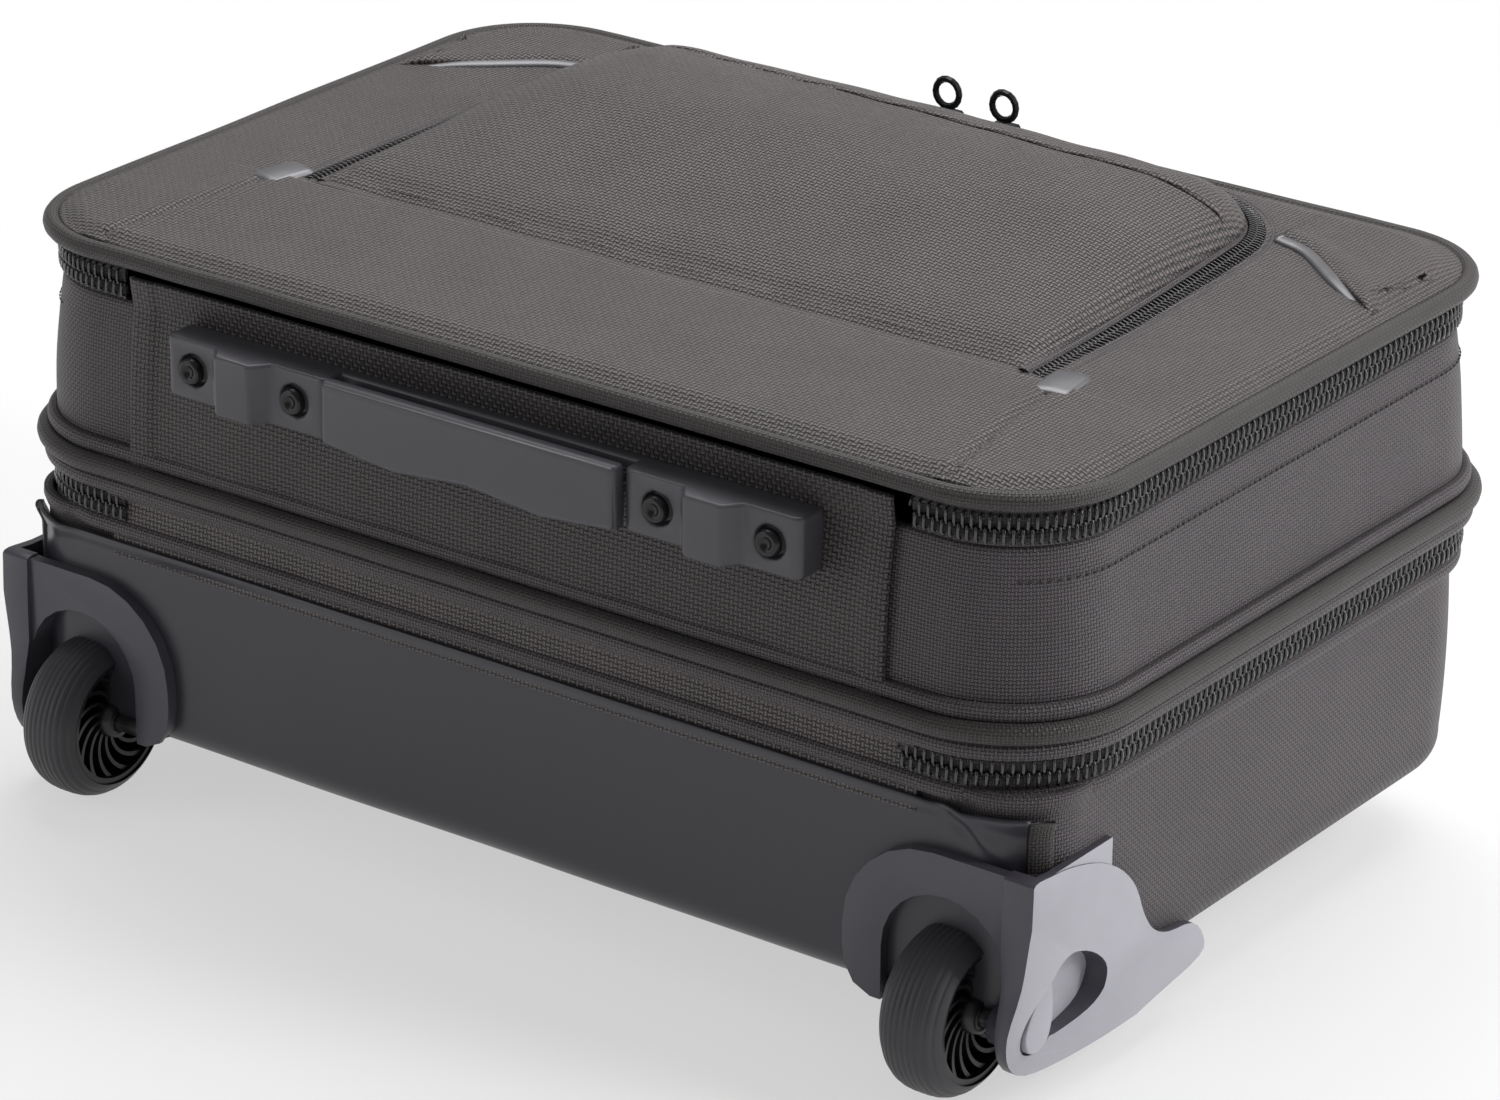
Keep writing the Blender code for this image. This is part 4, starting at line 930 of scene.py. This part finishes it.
yoke()
print("front panel and pocket made")


patchStyle = {
    "half": 155 * mm,           # half its length
    "stitchLine": 147.5 * mm,   # from the middle to each row of stitches
    "stitchPitch": 3 * mm,
    "thickness": 1.5 * mm,
}


def wallSwell(z):
    # how far the middle wall is bowed out at height z, under the cloth sewn on it
    share = (z - rearZipZ - 6 * mm) / (mainZipZ - rearZipZ - 12 * mm)
    return wall["swell"] * np.sin(math.pi * np.clip(share, 0, 1)) ** 0.8


def endPatch():
    # the reinforcing cloth over the middle section's wheel end, folded under and stitched along both edges
    low, high, half = midZ + 3.2 * mm, mainZipZ + 4.5 * mm, patchStyle["half"]
    a, b = np.meshgrid(np.linspace(-half, half, 190), np.linspace(0, 1, 46), indexing="ij")
    z = low + (high - low) * b
    face = gussetFace(np.clip(z, box("rear_zip_mid_side")[1][2], mainZipZ))
    y = wheelEnd - face - wallSwell(z) - 2.0 * mm
    side = half - np.abs(a)
    y = y - 0.8 * mm * (smoothStep(0, 1 * mm, side) - smoothStep(9 * mm, 11 * mm, side))
    y = y - 0.35 * mm * ripple(a, z, 60 * mm, 17)
    y = y - 1.5 * mm * smoothStep(0.8, 1.0, b)
    points = np.stack([a, y, z], -1)
    # the patch's darker cloth is painted shade
    made = sheetMesh("endPatch", points, paintedShadeWeave, np.stack([a, z], -1), None, patchStyle["thickness"])
    applyModifiers(made)
    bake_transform(made, "mid_section", "lid", start=(0, wheelEnd, mainZipZ - 6 * mm),
             end=(0, wheelEnd, mainZipZ + 4 * mm))
    for x in (-1, 1):
        rows = np.linspace(low + 2 * mm, high - 8 * mm, 30)
        line = np.column_stack([np.full(30, x * patchStyle["stitchLine"]),
                                np.interp(rows, z[0], points[8 if x < 0 else -9, :, 1]) - 0.2 * mm, rows])
        stitches("patchStitch" + sideName(x), line, (0, -1, 0), patchStyle["stitchPitch"], "mid_section")


endPatch()


tapeStyle = {
    "halfHeight": 2.7 * mm,
    "depth": 1.8 * mm,
    "stitchPitch": 3.2 * mm,
}


def tapeRolls():
    # a flat-topped tape under each piping, and a row of stitches along the middle section's upper edge
    turn = np.radians(np.linspace(90, -90, 11))
    tall, deep = tapeStyle["halfHeight"], tapeStyle["depth"]
    for name, z, outset, body in (("middleTape", midZ - 6.4 * mm, flare - 4.2 * mm, "mid_section"),
                                  ("middleTapeUpper", midZ + 6.0 * mm, flare - 5.6 * mm, "mid_section"),
                                  ("rearTape", rearZipZ - 8.6 * mm, -2.6 * mm, "case")):
        shape = np.stack([outset + deep * np.cos(turn), z + tall * np.sin(turn)], 1)
        shape = np.vstack([shape, [outset - 1.5 * mm, z - tall], [outset - 1.5 * mm, z + tall]])
        made = carried(name, placesA, normalsA, shape, fineWeave, body)
    z = mainZipZ - 17 * mm
    line = placesA + normalsA * (gussetFace(z) + wallSwell(z) + 0.35 * mm) + [0, 0, z]
    clear = (line[:, 1] > wheelEnd + 12 * mm) & (line[:, 1] < handleEnd - 12 * mm)
    for side in (-1, 1):
        part = line[clear & (line[:, 0] * side > 0)]
        order = np.argsort(part[:, 1])
        stitches("wallStitch" + sideName(side), part[order], (side, 0, 0), tapeStyle["stitchPitch"],
                 "mid_section")


tapeRolls()


hingeStyle = {
    "half": 166 * mm,           # half its length
    "roll": 3.6 * mm,           # how far the rolled tape stands out
    "thickness": 1.5 * mm,
}


def hingeStrip():
    # the fabric hinge under the middle piping: a rolled tape, then plain cloth down behind the kick plate
    low, high = box("kick_plate")[1][2] - 6 * mm, midZ - 2.2 * mm
    half = hingeStyle["half"]
    a, b = np.meshgrid(np.linspace(-half, half, 200), np.linspace(0, 1, 34), indexing="ij")
    z = low + (high - low) * b
    roll = np.sin(math.pi * np.clip((z - (midZ - 12.5 * mm)) / (9 * mm), 0, 1)) ** 0.7
    y = wheelEnd + 3.4 * mm - hingeStyle["roll"] * roll - 1.2 * mm * (1 - b)
    y = y + 0.25 * mm * ripple(a, z, 45 * mm, 31)
    made = sheetMesh("hingeStrip", np.stack([a, y, z], -1), coarseWeave, np.stack([a, z], -1), None,
                     hingeStyle["thickness"])
    applyModifiers(made)
    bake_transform(made, "case", "mid_section", start=(0, wheelEnd, rearZipZ - 5 * mm),
             end=(0, wheelEnd, rearZipZ + 4 * mm))


hingeStrip()


def rounded(made, width, degrees):
    # a live bevel on every edge sharper than this
    bevel = made.modifiers.new("bevel", "BEVEL")
    bevel.width = width
    bevel.segments = 3
    bevel.limit_method = "ANGLE"
    bevel.angle_limit = math.radians(degrees)
    bevel.harden_normals = True


def softened(node, width, material):
    # a merged copy of a CAD piece with every sharp edge rounded to this radius
    source = frame["nodes"][node]
    work = bmesh.new()
    work.from_mesh(source.data)
    work.transform(source.matrix_world)
    bmesh.ops.remove_doubles(work, verts=work.verts[:], dist=1e-6)
    bmesh.ops.dissolve_limit(work, angle_limit=math.radians(1), verts=work.verts[:], edges=work.edges[:])
    mesh = bpy.data.meshes.new(node + "Visual")
    work.to_mesh(mesh)
    work.free()
    mesh.polygons.foreach_set("use_smooth", np.ones(len(mesh.polygons), bool))
    mesh.materials.clear()
    mesh.materials.append(material)
    made = bpy.data.objects.new(mesh.name, mesh)
    bpy.context.collection.objects.link(made)
    rounded(made, width, 32)
    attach(made, body_of(source)[0])
    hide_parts(node)
    return made


for node, width, material in (("foot_bar", 1.6 * mm, barPlastic), ("foot_grip", 1.8 * mm, barPlastic),
                              ("handle_bezel", 1.2 * mm, housingPlastic),
                              ("handle_foot_bracket", 1.0 * mm, housingPlastic),
                              ("handle_grip", 3.0 * mm, barPlastic)):
    softened(node, width, material)

# the housings' outer sides are coloured pale: painted light for the lamp falling on that side
paintedLightPlastic = mouldedMaterial("scuffedPolypropylene", "#aaa9b1", 0.45, 0.5 * mm, 0.05 * mm, 0.1)


def housings():
    # the CAD housing, opened behind its front lip so that the tub shows, its outer side coloured paler as
    # painted light
    for side, name in ((-1, "left"), (1, "right")):
        made = softened("wheel_housing_" + name, 1.1 * mm, housingPlastic)
        made.modifiers.clear()
        high = box("wheel_housing_" + name)[1]
        back = wheelEnd + 42.5 * mm
        inner, outer = (halfWidth - 75 * mm) * side, (halfWidth - 4.6 * mm) * side
        cutBox(made, (min(inner, outer), wheelEnd + 3.2 * mm, high[2] - 9 * mm),
               (max(inner, outer), back, high[2] + mm))
        rounded(made, 1.0 * mm, 34)
        made.data.materials.append(paintedLightPlastic)
        count = len(made.data.polygons)
        facing, place = np.empty(count * 3), np.empty(count * 3)
        made.data.polygons.foreach_get("normal", facing)
        made.data.polygons.foreach_get("center", place)
        # faces turned outwards on the outer side take the pale colour: painted light
        outside = (facing[::3] * side > 0.7) & (place[::3] * side > halfWidth - 12 * mm)
        made.data.polygons.foreach_set("material_index", outside.astype(np.int32))
        # the axle caps take the same pale colour: painted light
        softened("axle_cap_" + name, 0.5 * mm, paintedLightPlastic)
        softened("rear_foot_" + name, 2.5 * mm, housingPlastic)


housings()


screws = {
    "places": (-117.5, -74, 74, 117.5),     # mm from the middle
    "rings": [(0.01, 5.0), (1.6, 5.0), (2.0, 4.1), (3.6, 3.6), (4.3, 4.2), (4.6, 6.5)],   # radius, depth
}


def barScrews():
    # a dark countersunk screw at the bottom of each hole of the foot bar: rings turned about y
    face = box("foot_bar")[0][1]
    for x in screws["places"]:
        rings = np.array(screws["rings"]) * mm
        turn = 2 * math.pi * np.arange(24) / 24
        points = np.stack([x * mm + rings[:, :1] * np.cos(turn), face + rings[:, 1:] + 0 * turn,
                           (mainZipZ - 16.2 * mm) + rings[:, :1] * np.sin(turn)], -1)
        faces = gridFaces(len(rings), 24, False, True).tolist() + [list(range(24))]
        made = keepMesh("barScrew%d" % round(x), points, faces, blackMetal, "mid_section")


barScrews()

wheelStyle = {
    "ribs": 11,            # round the tread
    "ribDepth": 0.45 * mm,
    "slots": 15,           # curved openings in the core
    "bladeLean": 48,       # degrees from hub to rim
    "steps": 96,           # round each ring
}


def turnedRing(centre, profile, turn):
    # a closed profile of (x, radius) turned about the axle: (x, r cos t, r sin t) from the centre
    return np.stack([centre[0] + profile[:, 0] + 0 * turn[:, None],
                     centre[1] + profile[:, 1] * np.cos(turn)[:, None],
                     centre[2] + profile[:, 1] * np.sin(turn)[:, None]], -1)


def wheelPieces(name):
    low, high = box("tyre_" + name)
    centre = (low + high) / 2
    half, radius = (high[0] - low[0]) / 2, (high[2] - low[2]) / 2
    coreLow, coreHigh = box("wheel_core_" + name)
    coreRadius = (coreHigh[2] - coreLow[2]) / 2
    body = "wheel_" + name
    # tyre: radius falls with the fourth power of the distance from the middle, with ribs along it
    t = np.linspace(-1, 1, 101)
    crown = radius - 6.2 * mm * np.abs(t) ** 3.2
    ribs = wheelStyle["ribDepth"] * np.abs(np.sin(math.pi * wheelStyle["ribs"] * (t + 1) / 2)) ** 0.6
    tread = np.abs(t) < 0.93
    outer = np.stack([t * half, crown - wheelStyle["ribDepth"] * tread + ribs * tread], 1)
    inner = np.array([(half * 0.96, coreRadius + 0.4 * mm), (-half * 0.96, coreRadius + 0.4 * mm)])
    profile = np.vstack([outer, inner])
    steps = wheelStyle["steps"]
    turn = 2 * math.pi * np.arange(steps) / steps
    tyre = keepMesh("tyre" + name.title(), turnedRing(centre, profile, turn),
                    gridFaces(steps, len(profile), True, True), tyreRubber)
    flipIfInside(tyre)
    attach(tyre, body)
    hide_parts("tyre_" + name)
    # core: a rim, a hub and curved blades, each blade at angle(r) = start + lean * share(r)
    pieces = []
    rimProfile = np.array([(-0.94 * half, coreRadius), (-0.94 * half, coreRadius - 2.2 * mm),
                           (0, coreRadius - 3.2 * mm), (0.94 * half, coreRadius - 2.2 * mm),
                           (0.94 * half, coreRadius)])
    hubProfile = np.array([(-half, 3.3 * mm), (-half, 5.5 * mm), (-0.6 * half, 6.6 * mm),
                           (0.6 * half, 6.6 * mm), (half, 5.5 * mm), (half, 3.3 * mm)])
    for label, shape in (("Rim", rimProfile), ("Hub", hubProfile)):
        made = keepMesh("core" + label + name.title(), turnedRing(centre, shape, turn),
                        gridFaces(steps, len(shape), True, True), corePlastic, smooth=label == "Hub")
        flipIfInside(made)
        pieces.append(made)
    share = np.linspace(0, 1, 14)
    reach = 6.0 * mm + (coreRadius - 1.0 * mm - 6.0 * mm) * share
    lean = math.radians(wheelStyle["bladeLean"]) * share ** 1.3
    section = np.array([(-0.86, -0.5), (0.86, -0.5), (0.86, 0.5), (-0.86, 0.5)])
    blades, faces = [], []
    for k in range(wheelStyle["slots"]):
        angle = 2 * math.pi * k / wheelStyle["slots"] + lean
        thick = (1.3 + 1.7 * share ** 2) * mm
        along = section[None, :, 0] * half * (0.80 + 0.16 * share[:, None])
        across = section[None, :, 1] * thick[:, None]
        y = centre[1] + reach[:, None] * np.cos(angle)[:, None] - across * np.sin(angle)[:, None]
        z = centre[2] + reach[:, None] * np.sin(angle)[:, None] + across * np.cos(angle)[:, None]
        start = len(blades) * 14 * 4
        blades.append(np.stack([centre[0] + along + 0 * y, y, z], -1))
        faces += gridFaces(14, 4, False, True, start).tolist()
        faces += [[start + 3, start + 2, start + 1, start], [start + 52, start + 53, start + 54, start + 55]]
    made = keepMesh("coreBlades" + name.title(), np.array(blades), faces, corePlastic, smooth=False)
    flipIfInside(made)
    pieces.append(made)
    # the web between the blades' two sides, set well in
    webProfile = np.array([(-1.2, 6), (1.2, 6), (1.2, 21), (-1.2, 21)]) * mm
    web = keepMesh("coreWeb" + name.title(), turnedRing(centre, webProfile, turn),
                   gridFaces(steps, 4, True, True), corePlastic, smooth=False)
    flipIfInside(web)
    pieces.append(web)
    for made in pieces:
        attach(made, body)
    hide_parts("wheel_core_" + name)


for name in ("left", "right"):
    wheelPieces(name)
print("wheels, housings and bars made")


kick = {
    "half": 206 * mm,           # half its width
    "wrap": 30 * mm,            # how far it reaches round the corners
    "proud": 2.0 * mm,          # in front of the tub's wall
    "thickness": 1.4 * mm,
    "creaseDepth": 1.5 * mm,
    "bindingHalf": 4.0 * mm,    # half width of the strip down each end
}


def kickPlate():
    # a thin sheet over the wheel end, wrapped round both corners; soft creases near the housings
    low, high = box("kick_plate")
    places, normals = caseOutline(case["wheelCornerRadius"], 2 * mm)
    keep = (places[:, 1] < wheelEnd + kick["wrap"]) & (np.abs(places[:, 0]) < kick["half"])
    places, normals = places[keep], normals[keep]
    order = np.argsort(places[:, 0])
    places, normals = places[order], normals[order]
    z = np.linspace(backZ + 0.5 * mm, high[2] - 0.4 * mm, 60)
    x = places[:, :1]
    edge = case["tubEdge"]
    turn = np.clip((backZ + edge - z) / edge, 0, 1)
    face = case["tubFace"] + kick["proud"] - edge * (1 - np.sqrt(1 - turn ** 2 * 0.98)) + 0 * x
    rim = wall["tubRim"] * smoothStep(high[2] - 7 * mm, high[2], z)
    face = face + rim + 0.35 * mm * ripple(x, z[None], 110 * mm, 41)
    crease = np.exp(-(((x - 186 * mm) + (z - high[2] + 3 * mm) * 0.9) / (3.5 * mm)) ** 2)
    crease = crease - 0.8 * np.exp(-(((x - 178 * mm) + (z - high[2] + 3 * mm) * 1.3) / (3.0 * mm)) ** 2)
    crease = crease + 0.7 * np.exp(-(((x + 190 * mm) - (z - high[2] + 3 * mm) * 0.9) / (4.5 * mm)) ** 2)
    face = face + kick["creaseDepth"] * crease * smoothStep(high[2] - 20 * mm, high[2] - 4 * mm, z)
    points = places[:, None] + face[..., None] * normals[:, None] + z[None, :, None] * [[[0, 0, 1.0]]]
    made = sheetMesh("kickPlate", points, sheetPlastic, points[..., [0, 2]], "case", kick["thickness"])
    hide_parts("kick_plate")
    # binding strips down both ends of the sheet
    places, normals = caseOutline(case["wheelCornerRadius"], 1 * mm)
    for side in (-1, 1):
        near = np.argmin(np.hypot(places[:, 0] - side * (kick["half"] + 0.5 * mm),
                                  places[:, 1] - wheelEnd - 12 * mm))
        rise = np.linspace(box("wheel_housing_right")[1][2] - 4 * mm, high[2] - 1 * mm, 14)
        spot = places[near] + (-2.6 * mm) * normals[near]
        line = np.column_stack([np.full(14, spot[0]), np.full(14, spot[1]), rise])
        line += normals[near] * (wall["tubRim"] * smoothStep(high[2] - 7 * mm, high[2], rise))[:, None]
        turn = np.radians(np.linspace(0, 180, 9))
        half = kick["bindingHalf"]
        shape = np.vstack([np.stack([half * np.cos(turn), 1.1 * mm * np.sin(turn)], 1),
                           [(-half, -1.6 * mm), (half, -1.6 * mm)]])
        across = np.cross([0, 0, 1.0], normals[near])
        strip = carried("kickBinding" + sideName(side), line, np.tile(across, (14, 1)), shape, ribWeave, "case",
                        closed=False, ups=np.tile(normals[near], (14, 1)))


kickPlate()

# the rest of the CAD pieces keep their own shape under a procedural material
single = {"back_board": liningCloth, "tube_cover": liningCloth, "mid_divider": liningCloth,
          "grip_button": barPlastic}
paired = {"wheel_axle": axleMetal}
paired.update({"handle_%s_tube" % part: tubeMetal for part in ("outer", "lower", "middle", "upper")})
paired.update({"%s_%s" % (zipName, part): blackMetal for zipName in ("main", "rear", "pocket")
               for part in ("slider", "pull")})
for node, thing in frame["nodes"].items():
    material = single.get(node) or paired.get(node.rsplit("_", 1)[0])
    if material:
        thing.data.materials.clear()
        thing.data.materials.append(material)

padding = {
    "pressure": 4.0,
    "voxel": 3.0 * mm,
    "handleSwell": 1.32 * mm,   # the most that the stuffing pushes the cloth out
    "sleeveSwell": 1.1 * mm,
    "frames": 20,
    "fill": 0.7,
}


def puffed(node, material, cap, subdivided):
    # stuffed cloth: the CAD solid remeshed evenly, blown up a little as cloth, and kept within the cap
    source = frame["nodes"][node]
    mesh = source.data.copy()
    mesh.transform(source.matrix_world)
    mesh.materials.clear()
    mesh.materials.append(material)
    made = bpy.data.objects.new(node + "Soft", mesh)
    bpy.context.collection.objects.link(made)
    remesh = made.modifiers.new("even", "REMESH")
    remesh.mode = "VOXEL"
    remesh.voxel_size = padding["voxel"]
    remesh.use_smooth_shade = True
    applyModifiers(made)
    count = len(made.data.vertices)
    before = np.empty(count * 3)
    made.data.vertices.foreach_get("co", before)
    cloth = made.modifiers.new("cloth", "CLOTH")
    cloth.settings.use_pressure = True
    cloth.settings.uniform_pressure_force = padding["pressure"]
    cloth.settings.effector_weights.gravity = 0
    cloth.settings.quality = 6
    cloth.point_cache.frame_start = 1
    cloth.point_cache.frame_end = padding["frames"]
    for now in range(1, padding["frames"] + 1):
        bpy.context.scene.frame_set(now)
    seen = made.evaluated_get(bpy.context.evaluated_depsgraph_get())
    after = np.empty(count * 3)
    seen.data.vertices.foreach_get("co", after)
    made.modifiers.clear()
    bpy.context.scene.frame_set(1)
    move = (after - before).reshape(-1, 3)
    size = np.linalg.norm(move, axis=1, keepdims=True)
    move *= np.minimum(1, cap / np.maximum(size, 1e-9))
    made.data.vertices.foreach_set("co", (before.reshape(-1, 3) + move).ravel())
    made.data.polygons.foreach_set("use_smooth", np.ones(len(made.data.polygons), bool))
    if subdivided:
        smooth = made.modifiers.new("round", "SUBSURF")
        smooth.levels = smooth.render_levels = 1
    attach(made, "mid_section")
    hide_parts(node)


handleCloth = mouldedMaterial("webbingNylon", "#262325", 0.55, 1.2 * mm, 0.25 * mm)
sleeveCloth = mouldedMaterial("paddedLining", "#2a2a2e", 0.5, 1.5 * mm, 0.1 * mm)
puffed("carry_handle", handleCloth, padding["handleSwell"], True)
puffed("laptop_sleeve", sleeveCloth, padding["sleeveSwell"], False)
print("padded pieces made")


# floor, light and camera
studio = {
    "floor": "#f4f4f4",
    "worldStrength": 0.27,
    "lamps": {                            # place, size in metres, power in watts
        "overhead": ((-0.2, 0.7, 1.6), (1.8, 1.2), 25), "right": ((1.7, 0.5, 0.9), (0.4, 1.4), 17),
        "left": ((-1.2, -1.3, 0.7), (0.6, 1.2), 4), "rim": ((1.2, 1.4, 1.0), (0.12, 1.2), 9),
    },
    "shadowNear": 0.35, "shadowFar": 0.95,    # metres from the middle over which the floor turns plain white
    "focal": 144.0,                       # millimetres on a 36 mm wide sensor
    "cameraPlace": (1115.5 * mm, -1374.5 * mm, 878.1 * mm),   # from the wheel end's middle, at the back
    "right": (0.80382, 0.59484, 0.00567),
    "down": (0.24007, -0.31566, -0.91800),
    "forward": (-0.54428, 0.73927, -0.39654),
}


def setStudio():
    # a pale floor that the camera and reflections see as white, four soft lamps and the camera
    floorMaterial, tree, shader = newMaterial("paleFloor", studio["floor"], 0.9)
    path = add(tree, "ShaderNodeLightPath")
    seen = add(tree, "ShaderNodeMath", [(0, path.outputs["Is Camera Ray"]), (1, path.outputs["Is Glossy Ray"])],
               operation="MAXIMUM")
    clear = add(tree, "ShaderNodeMath", [(0, seen.outputs[0]), (1, path.outputs["Is Transmission Ray"])],
                operation="MAXIMUM")
    white = add(tree, "ShaderNodeEmission")
    white.inputs["Strength"].default_value = 1.0
    # near the object part of the floor's own shading stays, so that it keeps the shadow
    place = add(tree, "ShaderNodeTexCoord")
    away = add(tree, "ShaderNodeVectorMath", [(0, place.outputs["Object"])], operation="LENGTH")
    fade = add(tree, "ShaderNodeMapRange", [("Value", away.outputs["Value"])])
    fade.interpolation_type = "SMOOTHSTEP"
    fade.inputs["From Min"].default_value = studio["shadowNear"]
    fade.inputs["From Max"].default_value = studio["shadowFar"]
    fade.inputs["To Min"].default_value = 0.55
    fade.inputs["To Max"].default_value = 1.0
    share = add(tree, "ShaderNodeMath", [(0, clear.outputs[0]), (1, fade.outputs["Result"])],
                operation="MULTIPLY")
    mixed = add(tree, "ShaderNodeMixShader", [(0, share.outputs[0]), (1, shader.outputs[0]),
                                              (2, white.outputs[0])])
    tree.links.new(mixed.outputs[0], tree.nodes["Material Output"].inputs["Surface"])
    corners = np.array([(-4, -4, 0), (4, -4, 0), (4, 4, 0), (-4, 4, 0)], float)
    keepMesh("floor", corners, [[0, 1, 2, 3]], floorMaterial, smooth=False)
    world = bpy.data.worlds.new("studio")
    bpy.context.scene.world = world
    world.use_nodes = True
    world.node_tree.nodes["Background"].inputs[0].default_value = (1, 1, 1, 1)
    world.node_tree.nodes["Background"].inputs[1].default_value = studio["worldStrength"]
    for name, (place, size, power) in studio["lamps"].items():
        data = bpy.data.lights.new(name, "AREA")
        data.shape = "RECTANGLE"
        data.size, data.size_y = size
        data.energy = power
        lamp = bpy.data.objects.new(name, data)
        lamp.location = place
        aim = np.array([0, 0, 0.1]) - place
        lamp.rotation_euler = Vector(aim).to_track_quat("-Z", "Y").to_euler()
        bpy.context.collection.objects.link(lamp)
    data = bpy.data.cameras.new("camera")
    data.sensor_width = 36.0
    data.lens = studio["focal"]
    data.clip_end = 20
    camera = bpy.data.objects.new("camera", data)
    right, down, forward = (Vector(studio[k]) for k in ("right", "down", "forward"))
    turned = Matrix([right, -down, -forward]).transposed().to_4x4()
    turned.translation = Vector(studio["cameraPlace"]) + Vector((0, wheelEnd, backZ))
    camera.matrix_world = turned
    bpy.context.collection.objects.link(camera)
    bpy.context.scene.camera = camera
    bpy.context.scene.view_settings.view_transform = "Standard"


setStudio()
print("studio set")
